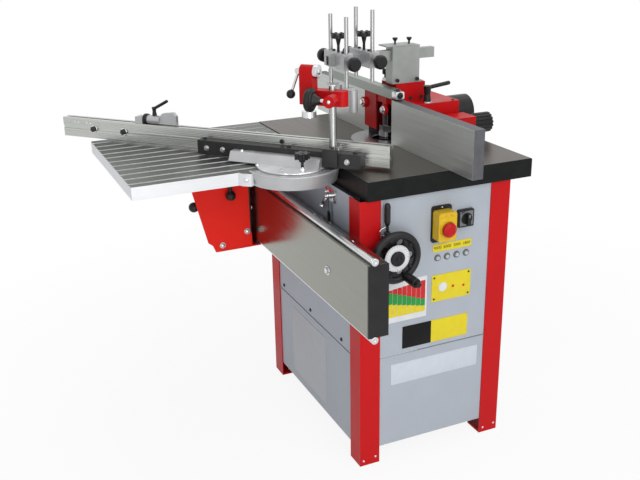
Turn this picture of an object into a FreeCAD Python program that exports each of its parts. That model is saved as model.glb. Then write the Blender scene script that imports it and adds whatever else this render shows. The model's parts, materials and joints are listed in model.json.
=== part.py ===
import FreeCAD, Part
import os
from math import cos, pi, sin, sqrt
from types import SimpleNamespace

import Sketcher
from FreeCAD import Placement, Rotation, Vector

# Spindle moulder with a sliding table.
# Millimetres, +Z up, origin on the floor under the middle of the cabinet.
# +X is the control side, -Y the side with the sliding table, the feed runs along X.

SIZES = {
    # cabinet
    "cabinet_length": 654,
    "cabinet_width": 466,
    "post_width": 62,
    "post_sheet": 3,
    "panel_sheet": 2,
    "panel_lap": 15,
    "panel_base": 50,
    "seam_height": 334,
    "seam_gap": 2,
    "foot_thick": 6,
    "foot_hole": 12,
    "foot_inset": 34,
    "vent_width": 90,
    "vent_height": 8,
    "vent_pitch": 24,
    "vent_base": 470,
    "vent_gap": 40,
    # main table
    "table_height": 850,
    "table_thick": 52,
    "table_plate": 24,
    "table_rim": 24,
    "table_left_over": 129,
    "table_right_over": 7,
    "table_inset": 19,
    "table_back_over": 63,
    "table_chamfer": 2,
    "table_rib": 16,
    "ring_seat": 220,
    "ring_thick": 8,
    "ring_step": 150,
    "ring_lip": 6,
    "ring_bore": 92,
    "ring_ledge": 18,
    # clearances and cuts
    "overrun": 5,
    "play": 0.3,
    "run_fit": 0.05,
    # spindle unit
    "spindle_x": -70,
    "spindle_y": 60,
    "arbor_dia": 30,
    "arbor_rise": 86,
    "flange_dia": 58,
    "flange_drop": 52,
    "flange_thick": 12,
    "spacer_dia": 50,
    "spacer_height": 20,
    "nut_dia": 46,
    "nut_height": 18,
    "relief_dia": 28,
    "relief_width": 3,
    "bearing_dia": 62,
    "bearing_width": 16,
    "housing_dia": 106,
    "housing_gap": 20,
    "housing_waist": 54,
    "pillar_span": 150,
    "pillar_dia": 26,
    "pillar_gap": 10,
    "boss_dia": 50,
    "boss_foot": 40,
    "boss_inset": 18,
    "web_thick": 30,
    "tie_drop": 172,
    "tie_thick": 12,
    "tie_width": 50,
    # belt drive
    "motor_x": 100,
    "motor_out": 121,
    "motor_dia": 168,
    "motor_height": 226,
    "motor_gap": 30,
    "motor_cap": 30,
    "motor_cap_dia": 130,
    "motor_plate": 10,
    "motor_plate_width": 150,
    "shaft_dia": 28,
    "step_height": 18,
    "drive_small": 100,
    "drive_second": 132,
    "drive_third": 174,
    "drive_large": 194,
    "pulley_sum": 256,
    "pulley_gap": 6,
    "belt_thick": 6,
    "belt_width": 12,
    # spindle lift
    "lift_x": -40,
    "screw_post_in": 8,
    "wheel_drop": 205,
    "screw_dia": 20,
    "screw_foot": 19,
    "screw_gap": 4,
    "screw_post": 10,
    "screw_post_wide": 44,
    "screw_post_gap": 6,
    "bevel_dia": 40,
    "bevel_reach": 22,
    "lug_thick": 10,
    "lug_gap": 4,
    "lug_height": 40,
    "lift_arm": 40,
    "lift_arm_high": 23,
    # handwheel
    "wheel_dia": 146,
    "wheel_rim": 20,
    "wheel_clear": 0.7,
    "wheel_hub": 50,
    "wheel_web": 8,
    "wheel_dish": 12,
    "wheel_shaft": 18,
    "grip_length": 58,
    "grip_dia": 20,
    "grip_neck": 14,
    "grip_pin": 8,
    "grip_out": 26,
    "grip_down": 54,
    "window_dia": 20,
    "window_circle": 84,
    # lock lever
    "lever_out": 12,
    "lever_rise": 45,
    "lever_hub": 22,
    "lever_hub_length": 22,
    "lever_pin": 12,
    "lever_pin_length": 30,
    "lever_neck": 8,
    "lever_neck_length": 28,
    "lever_grip": 16,
    "lever_grip_length": 59,
    # switches
    "switch_y": 13,
    "switch_drop": 147,
    "switch_width": 62,
    "switch_height": 104,
    "switch_plate": 5,
    "switch_round": 8,
    "switch_box_width": 56,
    "switch_box_height": 82,
    "switch_box_deep": 32,
    "button_dia": 40,
    "button_thick": 12,
    "button_stem": 22,
    "button_travel": 6,
    "button_depth": 12,
    "button_drop": 6,
    "selector_y": 88,
    "selector_rise": 5,
    "selector_plate": 50,
    "selector_thick": 10,
    "selector_round": 4,
    "selector_dia": 32,
    "selector_bar": 10,
    "selector_bar_high": 12,
    "selector_disc": 5,
    "lamp_first_y": 6,
    "lamp_pitch": 30.6,
    "lamp_drop": 100,
    "lamp_dia": 17,
    "lamp_lens": 11,
    "lamp_thick": 5,
    # sliding rail
    "rail_length": 1050,
    "rail_gap": 24,
    "rail_depth": 55,
    "rail_drop": 140,
    "rail_height": 190,
    "rail_wall": 5,
    "rod_dia": 20,
    "rod_inset": 18,
    "rod_proud": 8,
    "cap_thick": 6,
    "spacer_width": 50,
    "spacer_tall": 150,
    "rail_bolt": 10,
    "rail_bolt_head": 17,
    "rail_bolt_high": 6,
    # carriage
    "carriage_right": -266,
    "carriage_length": 170,
    "carriage_sheet": 4,
    "carriage_gap": 9,
    "carriage_top_reach": 215,
    "carriage_low_reach": 122,
    "carriage_notch": 23,
    "carriage_notch_rise": 34,
    "carriage_step": 9,
    "carriage_step_rise": 23,
    "shoe_length": 60,
    "shoe_wide": 26,
    "shoe_high": 16,
    "shoe_slack": 0.4,
    "ball_dia": 32,
    "ball_stem": 10,
    "ball_stem_length": 26,
    "upper_ball_out": 69,
    "upper_ball_drop": 112,
    "side_ball_out": 153,
    "side_ball_drop": 170,
    # sliding table
    "slide_right": 92,
    "slide_length": 542,
    "slide_width": 545,
    "slide_gap": 4,
    "slide_thick": 35,
    "slide_plate": 12,
    "slide_rim": 14,
    "slide_rib": 10,
    "groove_pitch": 48,
    "groove_width": 9,
    "groove_deep": 3,
    "groove_first": 27,
    # mitre fence, built along its own length and swung to its angle
    "mitre_out": 1,
    "mitre_in": 104,
    "base_radius": 130,
    "base_draft": 9,
    "base_wall": 14,
    "dial_radius": 100,
    "dial_thick": 5,
    "body_left": -182,
    "body_right": 90,
    "body_front": -36,
    "body_back": 1,
    "body_height": 25,
    "body_slope": 14,
    "knob_x": 56,
    "knob_y": -58,
    "knob_dia": 42,
    "knob_high": 16,
    "knob_stem": 8,
    "knob_stem_length": 34,
    "knob_notch": 12,
    "bar_left": -302,
    "bar_right": 197,
    "bar_width": 34,
    "bar_height": 40,
    "fence_left": -806,
    "fence_right": 266,
    "fence_thick": 30,
    "fence_lift": 9,
    "fence_height": 58,
    "slot_mouth": 9,
    "slot_inner": 15,
    "slot_lip": 3,
    "slot_deep": 9,
    # flip stop
    "stop_left": -538,
    "stop_length": 25,
    "stop_width": 24,
    "stop_hub": 26,
    "stop_hub_length": 40,
    "stop_height": 20,
    "stop_collar": 25,
    "stop_collar_length": 18,
    "flap_length": 57,
    "flap_low": 11,
    "flap_round": 10,
    "flap_pin": 10,
    "flap_thick": 12,
    "flap_reach": 26,
    "tee_hub": 14,
    "tee_hub_high": 24,
    "tee_arm": 9,
    "tee_arm_length": 46,
    "tee_rise": 20,
    # eccentric clamp
    "column_x": 112,
    "column_dia": 20,
    "column_height": 176.4,
    "arm_rise": 124.4,
    "arm_height": 40,
    "arm_width": 34,
    "head_x": 43,
    "head_wide": 38,
    "cam_dia": 36,
    "cam_rise": 46,
    "cam_pin": 12,
    "cam_knee": 16,
    "cam_thick": 12,
    "cam_lever_out": 33,
    "cam_lever_drop": 64,
    "cam_lever": 8,
    "cam_ball": 24,
    "pad_dia": 40,
    "pad_thick": 16,
    "pad_gap": 20,
    "pad_rod": 16,
    "pad_drop": 10,
    "disc_dia": 56,
    "disc_thick": 20,
    "disc_rise": 20,
    "disc_stem": 10,
    "disc_stem_length": 46,
    "arm_tail": 27,
    "ear_x": 126,
    "ear_dia": 32,
    "ear_length": 41,
    "ear_screw": 29,
    # hood and fences
    "hood_left": -162,
    "hood_right": 22,
    "hood_gap": 1,
    "hood_back": 255,
    "hood_drop": 20.3,
    "hood_sheet": 3,
    "riser_left": -130,
    "riser_right": -40,
    "riser_back": 172,
    "riser_height": 55,
    "guard_left": -168,
    "guard_right": -94,
    "guard_lift": 22,
    "guard_thick": 4,
    "guard_in": 4,
    "cross_left": -128,
    "cross_right": -28,
    "stub_left": -52,
    "guard_boss_inset": 4,
    "guard_boss": 32,
    "guard_boss_high": 8,
    "guard_boss_drop": 16,
    "outlet_dia": 100,
    "outlet_wall": 3,
    "outlet_length": 84,
    "plate_front": 30,
    "plate_thick": 32,
    "plate_height": 130,
    "infeed_left": 12,
    "infeed_length": 428,
    "outfeed_right": -152,
    "outfeed_length": 388,
    "outfeed_setback": 10,
    "bracket_left": 34,
    "bracket_width": 70,
    "bracket_back": 262,
    "bracket_height": 75,
    "bracket_sheet": 4,
    "fence_knob_dia": 60,
    "fence_knob_length": 66,
    "fence_knob_rise": 46,
    "fence_screw": 14,
    "fence_screw_length": 60,
    "flute_dia": 6,
    "hood_lever_x": 6,
    "hood_lever_y": 153,
    "hood_lever_hub": 24,
    "hood_lever_high": 50,
    "hood_lever_arm": 12,
    "hood_lever_length": 72,
    "hood_lever_rise": 2,
    "bridge_left": -425,
    "bridge_right": 10,
    "bridge_high": 26,
    "bridge_deep": 30,
    "bridge_gap": 2,
    # pressers
    "post_left": -82,
    "post_deep": 42,
    "post_far": 151,
    "post_height": 110,
    "post_flange": 14,
    "post_wall": 4,
    "beam_wide": 22,
    "beam_high": 30,
    "beam_wall": 3,
    "beam_drop": 27,
    "beam_near": -140,
    "beam_far": 207,
    "holder_first_y": -105,
    "holder_second_y": -23,
    "holder_length": 132,
    "holder_wide": 30,
    "holder_high": 44,
    "rod_span": 104,
    "presser_rod": 12,
    "rod_a_length": 205,
    "rod_a_drop": 81,
    "rod_b_length": 201,
    "rod_b_drop": 62,
    "presser_pad": 26,
    "pad_high": 63,
    "pad_offset": 21,
    "pad_link": 18,
    "pad_link_thick": 8,
    "tee_knob": 42,
    "tee_knob_high": 12,
    "tee_knob_stem": 39,
    "side_knob": 40,
    "side_knob_thick": 22,
    "side_stem": 8,
    "side_stem_length": 24,
    # latch on the front panel
    "latch_x": 152,
    "latch_drop": 28,
    "latch_plate": 4,
    "latch_wide": 70,
    "latch_high": 34,
    "latch_pin": 8,
    "latch_bar": 10,
    "latch_bar_thick": 5,
    "latch_length": 44,
    "latch_grip": 18,
    "latch_grip_length": 34,
}

# Counts of like features
SPACERS = 3
WINDOWS = 5
LAMPS = 4
VENT_ROWS = 6
SLIDE_CELLS = 6
GROOVES = 11
KNOB_LOBES = 7
KNOB_FLUTES = 16
BELT_STEP = 2

# Degrees from X to the mitre fence
MITRE_ANGLE = 41.5

# Proportions of turned handles and knobs
GRIP_SHOULDER_SHARE = 0.3
GRIP_WAIST_SHARE = 0.7
HANDLE_NECK_SHARE = 0.75
KNOB_FACE_SHARE = 0.8
KNOB_BACK_SHARE = 0.3
KNOB_RIM_SHARE = 0.75
TEE_HUB_SHARE = 0.4
TEE_NECK_SHARE = 0.5

# Reach of the carriage's far side, next to its near side
FAR_REACH_SHARE = 0.72

doc = FreeCAD.newDocument("SpindleMoulder")
sheet = doc.addObject("Spreadsheet::Sheet", "Sizes")
for row, (alias, amount) in enumerate(SIZES.items(), start=1):
    sheet.set(f"A{row}", alias)
    sheet.set(f"B{row}", str(amount))
    sheet.setAlias(f"B{row}", alias)
doc.recompute()


class Size:
    """A length that carries its value and the sheet formula that gives it."""

    def __init__(self, formula, value):
        self.formula = formula
        self.value = value

    def __add__(self, other):
        other = as_size(other)
        return Size(f"({self.formula} + {other.formula})", self.value + other.value)

    def __sub__(self, other):
        other = as_size(other)
        return Size(f"({self.formula} - {other.formula})", self.value - other.value)

    def __mul__(self, other):
        other = as_size(other)
        return Size(f"({self.formula} * {other.formula})", self.value * other.value)

    def __truediv__(self, other):
        other = as_size(other)
        return Size(f"({self.formula} / {other.formula})", self.value / other.value)

    def __neg__(self):
        return Size(f"(-1 * {self.formula})", -self.value)

    def __radd__(self, other):
        return as_size(other) + self

    def __rsub__(self, other):
        return as_size(other) - self


def as_size(amount):
    """A Size as it is, or a plain number as a Size."""
    return amount if isinstance(amount, Size) else Size(repr(amount), amount)


def root(amount):
    """Square root of a Size."""
    return Size(f"sqrt({amount.formula})", sqrt(amount.value))


s = SimpleNamespace(**{alias: Size(f"Sizes.{alias}", amount) for alias, amount in SIZES.items()})

TURNS = {
    "z": Rotation(),
    "-z": Rotation(Vector(1, 0, 0), 180),
    "x": Rotation(Vector(0, 1, 0), 90),
    "-x": Rotation(Vector(0, 1, 0), -90),
    "y": Rotation(Vector(1, 0, 0), -90),
    "-y": Rotation(Vector(1, 0, 0), 90),
}
nodes = []


def bind(thing, prop, amount):
    """Tie a property to the sheet."""
    thing.setExpression(prop, as_size(amount).formula)


def place(thing, at, axis="z"):
    """Put a thing at a point, with its own Z turned to the axis."""
    thing.Placement = Placement(Vector(), TURNS[axis])
    for letter, amount in zip("xyz", at):
        bind(thing, f"Placement.Base.{letter}", amount)
    return thing


def block(x, y, z):
    """Box between two planes on each axis."""
    made = doc.addObject("Part::Box", "Block")
    for side, (low, high) in zip(("Length", "Width", "Height"), (x, y, z)):
        bind(made, side, as_size(high) - low)
    return place(made, (x[0], y[0], z[0]))


def rod(diameter, at, length, axis="z"):
    """Round bar that starts at a point and runs along an axis."""
    made = doc.addObject("Part::Cylinder", "Rod")
    bind(made, "Radius", diameter / 2)
    bind(made, "Height", length)
    return place(made, at, axis)


def taper(first, last, at, length, axis="z"):
    """Round bar that goes from one diameter to another."""
    made = doc.addObject("Part::Cone", "Taper")
    bind(made, "Radius1", first / 2)
    bind(made, "Radius2", last / 2)
    bind(made, "Height", length)
    return place(made, at, axis)


def ball(diameter, at):
    """Sphere about a point."""
    made = doc.addObject("Part::Sphere", "Ball")
    bind(made, "Radius", diameter / 2)
    return place(made, at)


def hoop(middle, section, at, axis="z"):
    """Torus about an axis."""
    made = doc.addObject("Part::Torus", "Hoop")
    bind(made, "Radius1", middle / 2)
    bind(made, "Radius2", section / 2)
    return place(made, at, axis)


def hexagon(corners, at, height, axis="z"):
    """Six-sided bar, sized across its corners."""
    made = doc.addObject("Part::Prism", "Hexagon")
    made.Polygon = 6
    bind(made, "Circumradius", corners / 2)
    bind(made, "Height", height)
    return place(made, at, axis)


def lean(thing, start, end):
    """Turn a thing's own Z to the run from one point to another."""
    run = [as_size(last) - first for first, last in zip(start, end)]
    thing.Placement = Placement(Vector(), Rotation(Vector(0, 0, 1), Vector(*[part.value for part in run])))
    return thing


def strut(diameter, start, end):
    """Round bar between two points."""
    run = [as_size(last) - first for first, last in zip(start, end)]
    made = rod(diameter, start, root(run[0] * run[0] + run[1] * run[1] + run[2] * run[2]))
    return lean(made, start, end)


def fuse(*things):
    made = doc.addObject("Part::MultiFuse", "Joined")
    made.Shapes = list(things)
    return made


def cut(thing, *tools):
    made = doc.addObject("Part::Cut", "CutPiece")
    made.Base = thing
    made.Tool = tools[0] if len(tools) == 1 else fuse(*tools)
    return made


def group(*things):
    made = doc.addObject("Part::Compound", "Set")
    made.Links = list(things)
    return made


def new_body():
    return doc.addObject("PartDesign::Body", "Body")


def attach(body, plane, lift):
    """Empty sketch on one of the body's own planes, lifted along its normal."""
    made = body.newObject("Sketcher::SketchObject", "Outline")
    support = next(f for f in body.Origin.OriginFeatures if f.Role == plane)
    made.AttachmentSupport = [(support, "")]
    made.MapMode = "FlatFace"
    bind(made, "AttachmentOffset.Base.z", lift)
    return made


def draw(body, plane, points, lift=0):
    """Closed outline of straight runs, each corner tied to the sheet."""
    made = attach(body, plane, lift)
    corners = [(as_size(u), as_size(v)) for u, v in points]
    spots = [Vector(u.value, v.value, 0) for u, v in corners]
    count = len(spots)
    for i in range(count):
        made.addGeometry(Part.LineSegment(spots[i], spots[(i + 1) % count]), False)
    for i in range(count):
        made.addConstraint(Sketcher.Constraint("Coincident", i, 2, (i + 1) % count, 1))
    for i, (u, v) in enumerate(corners):
        for kind, amount in (("DistanceX", u), ("DistanceY", v)):
            index = made.addConstraint(Sketcher.Constraint(kind, -1, 1, i, 1, amount.value))
            made.setExpression(f"Constraints[{index}]", amount.formula)
    return made


def pad(body, outline, length):
    made = body.newObject("PartDesign::Pad", "Pad")
    made.Profile = outline
    bind(made, "Length", length)
    body.Tip = made
    return made


def plate(plane, points, length, lift=0):
    """Body padded from one outline."""
    body = new_body()
    pad(body, draw(body, plane, points, lift), length)
    return body


def turned(points, at, axis="z"):
    """Body turned from an outline of radius and height."""
    body = new_body()
    made = body.newObject("PartDesign::Revolution", "Turn")
    outline = draw(body, "XZ_Plane", points)
    made.Profile = outline
    made.ReferenceAxis = (outline, ["V_Axis"])
    made.Angle = 360
    body.Tip = made
    return place(body, at, axis)


def round_edges(body, radius, direction):
    """Fillet the body's straight edges that run along a direction."""
    doc.recompute()
    names = []
    base = body.Tip
    for index, edge in enumerate(base.Shape.Edges, start=1):
        along = (edge.lastVertex().Point - edge.firstVertex().Point).normalize()
        if abs(along.dot(direction)) > 0.999:
            names.append(f"Edge{index}")
    made = body.newObject("PartDesign::Fillet", "Rounded")
    made.Base = (base, names)
    bind(made, "Radius", radius)
    body.Tip = made
    return body


def node(label, thing):
    """Name a finished sub-part and list it for writing."""
    thing.Label = label
    nodes.append(thing)
    return thing


def swing(label, thing):
    """Finished piece of the mitre fence, moved from the fence's own axes to its pivot and angle."""
    made = group(thing)
    made.Placement = Placement(Vector(), Rotation(Vector(0, 0, 1), MITRE_ANGLE))
    bind(made, "Placement.Base.x", mitre_x)
    bind(made, "Placement.Base.y", mitre_y)
    return node(label, made)


# Planes that several pieces share
half_length = s.cabinet_length / 2
half_width = s.cabinet_width / 2
frame_top = s.table_height - s.table_thick
panel_x = half_length - s.post_sheet
panel_y = half_width - s.post_sheet
table_left = -half_length - s.table_left_over
table_right = half_length + s.table_right_over
table_front = s.table_inset - half_width
table_back = half_width + s.table_back_over
table_under = s.table_height - s.table_plate
flange_base = s.table_height - s.flange_drop
housing_top = flange_base - s.housing_gap
housing_base = table_under - s.motor_gap - s.motor_height - s.motor_plate
screw_post_y = table_front + s.table_rim + s.screw_post_in
wheel_y = screw_post_y + s.screw_post + s.screw_post_gap + s.bevel_dia / 2
wheel_z = s.table_height - s.wheel_drop
wheel_x = half_length + s.play + s.lever_hub_length + s.wheel_clear + s.wheel_dish + s.wheel_web / 2
screw_base = wheel_z - s.bevel_reach - s.screw_foot
lever_y = wheel_y - s.lever_out
lever_z = wheel_z + s.lever_rise
motor_y = wheel_y + s.motor_out
switch_z = s.table_height - s.switch_drop
selector_z = switch_z + s.selector_rise
rail_back = -half_width - s.rail_gap
rail_front = rail_back - s.rail_depth
rail_top = s.table_height - s.rail_drop
rail_base = rail_top - s.rail_height
rod_y = rail_front + s.rod_inset
mitre_x = s.slide_right + s.mitre_out
mitre_y = table_front - s.mitre_in


def corner_post(right, rear):
    """Angle post with a foot plate inside its corner; right and rear are 1 or -1."""
    body = new_body()
    x = [half_length * right, (half_length - s.post_sheet) * right, (half_length - s.post_width) * right]
    y = [half_width * rear, (half_width - s.post_sheet) * rear, (half_width - s.post_width) * rear]
    angle = [(x[0], y[0]), (x[2], y[0]), (x[2], y[1]), (x[1], y[1]), (x[1], y[2]), (x[0], y[2])]
    pad(body, draw(body, "XY_Plane", angle), frame_top)
    foot = [(x[1], y[1]), (x[2], y[1]), (x[2], y[2]), (x[1], y[2])]
    pad(body, draw(body, "XY_Plane", foot), s.foot_thick)
    spot = ((half_length - s.foot_inset) * right, (half_width - s.foot_inset) * rear, -s.overrun)
    bolt_hole = rod(s.foot_hole, spot, s.foot_thick + s.overrun * 2)
    return cut(body, bolt_hole)


def cabinet():
    node("corner_posts", group(*[corner_post(right, rear) for right in (1, -1) for rear in (1, -1)]))
    wide_x = half_length - s.post_width + s.panel_lap
    wide_y = half_width - s.post_width + s.panel_lap
    lower = (s.panel_base, s.seam_height - s.seam_gap / 2)
    upper = (s.seam_height + s.seam_gap / 2, frame_top)
    front = (-panel_y, s.panel_sheet - panel_y)
    control = (panel_x - s.panel_sheet, panel_x)
    node(
        "front_panels",
        group(block((-wide_x, wide_x), front, upper), block((-wide_x, wide_x), front, lower)),
    )
    through = s.panel_sheet + s.overrun * 2
    inside = panel_x - s.panel_sheet - s.overrun
    shaft_hole = rod(s.wheel_shaft + s.run_fit * 2, (inside, wheel_y, wheel_z), through, "x")
    lever_hole = rod(s.lever_pin + s.run_fit * 2, (inside, lever_y, lever_z), through, "x")
    control_upper = cut(block(control, (-wide_y, wide_y), upper), shaft_hole, lever_hole)
    node("control_panels", group(control_upper, block(control, (-wide_y, wide_y), lower)))
    rear = block((-wide_x, wide_x), (panel_y - s.panel_sheet, panel_y), (s.panel_base, frame_top))
    vents = []
    for start in (-s.vent_width - s.vent_gap / 2, s.vent_gap / 2):
        for row in range(VENT_ROWS):
            low = s.vent_base + s.vent_pitch * row
            vents.append(
                block(
                    (start, start + s.vent_width),
                    (panel_y - s.panel_sheet - s.overrun, half_width),
                    (low, low + s.vent_height),
                ),
            )
    left = block((-panel_x, s.panel_sheet - panel_x), (-wide_y, wide_y), (s.panel_base, frame_top))
    node("rear_panels", group(cut(rear, *vents), left))


def main_table():
    body = new_body()
    rect = [
        (table_left, table_front), (table_right, table_front), (table_right, table_back),
        (table_left, table_back),
    ]
    pad(body, draw(body, "XY_Plane", rect, frame_top), s.table_thick)
    doc.recompute()
    slab = body.Tip
    top = slab.Shape.BoundBox.ZMax
    names = [f"Edge{index}" for index, edge in enumerate(slab.Shape.Edges, start=1)
             if edge.BoundBox.ZMin > top - SIZES["table_chamfer"]]
    bevel = body.newObject("PartDesign::Chamfer", "Bevel")
    bevel.Base = (slab, names)
    bind(bevel, "Size", s.table_chamfer)
    body.Tip = bevel
    low = (frame_top - s.overrun, table_under)
    deep = (table_front + s.table_rim, table_back - s.table_rim)
    hollow_inside = block((s.post_width - half_length, half_length - s.post_width), deep, low)
    hollow_left = block((table_left + s.table_rim, -half_length - s.table_rib), deep, low)
    seat = rod(
        s.ring_seat, (s.spindle_x, s.spindle_y, s.table_height - s.ring_thick), s.ring_thick + s.overrun,
    )
    bore = rod(s.ring_seat - s.ring_ledge * 2, (s.spindle_x, s.spindle_y, frame_top), s.table_thick)
    node("main_table", cut(body, hollow_inside, hollow_left, seat, bore))
    half = s.ring_thick / 2
    outer = turned([
        (s.ring_step / 2 - s.ring_lip, 0), (s.ring_seat / 2 - s.play, 0),
        (s.ring_seat / 2 - s.play, s.ring_thick), (s.ring_step / 2, s.ring_thick),
        (s.ring_step / 2, half), (s.ring_step / 2 - s.ring_lip, half),
    ], (s.spindle_x, s.spindle_y, s.table_height - s.ring_thick))
    inner = turned([
        (s.ring_bore / 2, half), (s.ring_step / 2 - s.play, half),
        (s.ring_step / 2 - s.play, s.ring_thick), (s.ring_bore / 2, s.ring_thick),
    ], (s.spindle_x, s.spindle_y, s.table_height - s.ring_thick))
    node("table_rings", group(outer, inner))


pillar_reach = (s.pulley_sum - s.drive_small) / 2 + s.pillar_gap + s.pillar_dia / 2
pillar_y = s.spindle_y + root(pillar_reach * pillar_reach - s.pillar_span * s.pillar_span / 4)
pillar_xs = (s.spindle_x - s.pillar_span / 2, s.spindle_x + s.pillar_span / 2)


def spindle_lift_frame():
    """Two guide pillars under the table, their tie, and the post that holds the lift screw."""
    tie_top = housing_base - s.tie_drop
    pillars = [rod(s.pillar_dia, (x, pillar_y, tie_top), table_under - tie_top) for x in pillar_xs]
    tie = block((pillar_xs[0] - s.tie_width / 2, pillar_xs[1] + s.tie_width / 2),
                (pillar_y - s.tie_width / 2, pillar_y + s.tie_width / 2),
                (tie_top - s.tie_thick, tie_top))
    lug_right = s.lift_x + s.bevel_reach + s.lug_gap + s.lug_thick
    post_span = (s.lift_x - s.screw_post_wide / 2, lug_right)
    post = block(
        post_span, (screw_post_y, screw_post_y + s.screw_post), (screw_base - s.tie_thick, table_under),
    )
    shelf = block(post_span, (screw_post_y, wheel_y + s.screw_dia), (screw_base - s.tie_thick, screw_base))
    lug = block((lug_right - s.lug_thick, lug_right), (screw_post_y, wheel_y + s.screw_dia),
                (wheel_z - s.lug_height / 2, wheel_z + s.lug_height / 2))
    shaft_hole = rod(s.wheel_shaft + s.run_fit * 2,
                     (lug_right - s.lug_thick - s.overrun, wheel_y, wheel_z),
                     s.lug_thick + s.overrun * 2, "x")
    node("lift_guides", group(*pillars, tie, cut(fuse(post, shelf, lug), shaft_hole)))


def spindle_housing():
    """Casting that slides on the pillars and carries both bearings and the motor."""
    at = (s.spindle_x, s.spindle_y, housing_base)
    height = housing_top - housing_base
    seat = s.bearing_dia / 2 + s.run_fit
    tube = turned([
        (seat, 0), (s.housing_dia / 2, 0), (s.housing_dia / 2, height), (seat, height),
        (seat, height - s.bearing_width), (s.housing_waist / 2, height - s.bearing_width),
        (s.housing_waist / 2, s.bearing_width), (seat, s.bearing_width),
    ], at)
    boss_base = housing_base + s.boss_foot
    boss_top = housing_top - s.boss_inset
    bosses = [rod(s.boss_dia, (x, pillar_y, boss_base), boss_top - boss_base) for x in pillar_xs]
    web = block(
        pillar_xs, (pillar_y - s.web_thick / 2, pillar_y + s.web_thick / 2), (boss_base, boss_top),
    )
    saddle = block(
        (s.spindle_x - s.housing_dia / 2, s.spindle_x + s.housing_dia / 2),
        (s.spindle_y, pillar_y), (boss_base, boss_top),
    )
    arm = block(
        (s.lift_x - s.lift_arm / 2, s.lift_x + s.lift_arm / 2),
        (wheel_y - s.lift_arm / 2, s.spindle_y),
        (housing_top - s.lift_arm_high, housing_top),
    )
    half_plate = s.motor_plate_width / 2
    motor_plate = block(
        (s.spindle_x, s.motor_x + half_plate),
        (motor_y - half_plate, s.spindle_y),
        (housing_base, housing_base + s.motor_plate),
    )
    tall = housing_top - housing_base + s.overrun * 2
    cuts = [
        rod(s.pillar_dia + s.run_fit * 2, (x, pillar_y, housing_base - s.overrun), tall)
        for x in pillar_xs
    ]
    cuts.append(rod(s.housing_waist, (s.spindle_x, s.spindle_y, housing_base - s.overrun), tall))
    for low in (housing_base - s.overrun, housing_top - s.bearing_width):
        cuts.append(
            rod(
                s.bearing_dia + s.run_fit * 2, (s.spindle_x, s.spindle_y, low),
                s.bearing_width + s.overrun,
            ),
        )
    cuts.append(rod(s.screw_dia + s.play * 2, (s.lift_x, wheel_y, housing_base), tall))
    cuts.append(rod(s.shaft_dia + s.play * 2, (s.motor_x, motor_y, housing_base - s.overrun), tall))
    casting = cut(fuse(tube, *bosses, web, saddle, arm, motor_plate), *cuts)
    bearings = []
    for low in (housing_base, housing_top - s.bearing_width):
        ring = rod(s.bearing_dia, (s.spindle_x, s.spindle_y, low), s.bearing_width)
        bearings.append(
            cut(
                ring,
                rod(
                    s.arbor_dia + s.run_fit * 2, (s.spindle_x, s.spindle_y, low - s.overrun),
                    s.bearing_width + s.overrun * 2,
                ),
            ),
        )
    node("spindle_housing", group(casting, *bearings))


drive_dias = (s.drive_small, s.drive_second, s.drive_third, s.drive_large)
pulley_top = housing_base - s.pulley_gap
pulley_base = pulley_top - s.step_height * len(drive_dias)


def stepped(diameters):
    """Outline of a stepped pulley, first step lowest."""
    points = [(0, 0)]
    for index, diameter in enumerate(diameters):
        points += [(diameter / 2, s.step_height * index), (diameter / 2, s.step_height * (index + 1))]
    return points + [(0, s.step_height * len(diameters))]


def belt_drive():
    motor_base = housing_base + s.motor_plate
    body_height = s.motor_height - s.motor_cap
    motor = turned([
        (s.shaft_dia / 2 + s.play, 0), (s.motor_dia / 2, 0), (s.motor_dia / 2, body_height),
        (s.motor_cap_dia / 2, s.motor_height), (0, s.motor_height),
        (0, body_height), (s.shaft_dia / 2 + s.play, body_height),
    ], (s.motor_x, motor_y, motor_base))
    node("motor", motor)
    shaft_length = motor_base + body_height - pulley_base - s.play
    node("motor_pulley", fuse(turned(stepped(drive_dias), (s.motor_x, motor_y, pulley_base)),
                              rod(s.shaft_dia, (s.motor_x, motor_y, pulley_base), shaft_length)))
    low = pulley_base + s.step_height * BELT_STEP + (s.step_height - s.belt_width) / 2
    motor_wrap = drive_dias[BELT_STEP] / 2 + s.play
    spindle_wrap = (s.pulley_sum - drive_dias[BELT_STEP]) / 2 + s.play
    inner = belt_band(low, motor_wrap, spindle_wrap)
    outer = belt_band(low, motor_wrap + s.belt_thick, spindle_wrap + s.belt_thick)
    node("drive_belt", cut(outer, inner))


def belt_band(low, motor_radius, spindle_radius):
    """Solid of belt width inside the two outer tangents of the pulleys' circles."""
    run_x = s.spindle_x - s.motor_x
    run_y = s.spindle_y - motor_y
    apart = root(run_x * run_x + run_y * run_y)
    slope = (motor_radius - spindle_radius) / apart
    rise = root(1 - slope * slope)

    def touch(x, y, radius, side):
        """Point where a tangent leaves a circle; side is 1 or -1."""
        across = (run_x * slope - run_y * rise * side) / apart
        up = (run_y * slope + run_x * rise * side) / apart
        return x + radius * across, y + radius * up

    corners = [
        touch(s.motor_x, motor_y, motor_radius, 1), touch(s.motor_x, motor_y, motor_radius, -1),
        touch(s.spindle_x, s.spindle_y, spindle_radius, -1),
        touch(s.spindle_x, s.spindle_y, spindle_radius, 1),
    ]
    return fuse(
        plate("XY_Plane", corners, s.belt_width, low),
        rod(motor_radius * 2, (s.motor_x, motor_y, low), s.belt_width),
        rod(spindle_radius * 2, (s.spindle_x, s.spindle_y, low), s.belt_width),
    )


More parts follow.
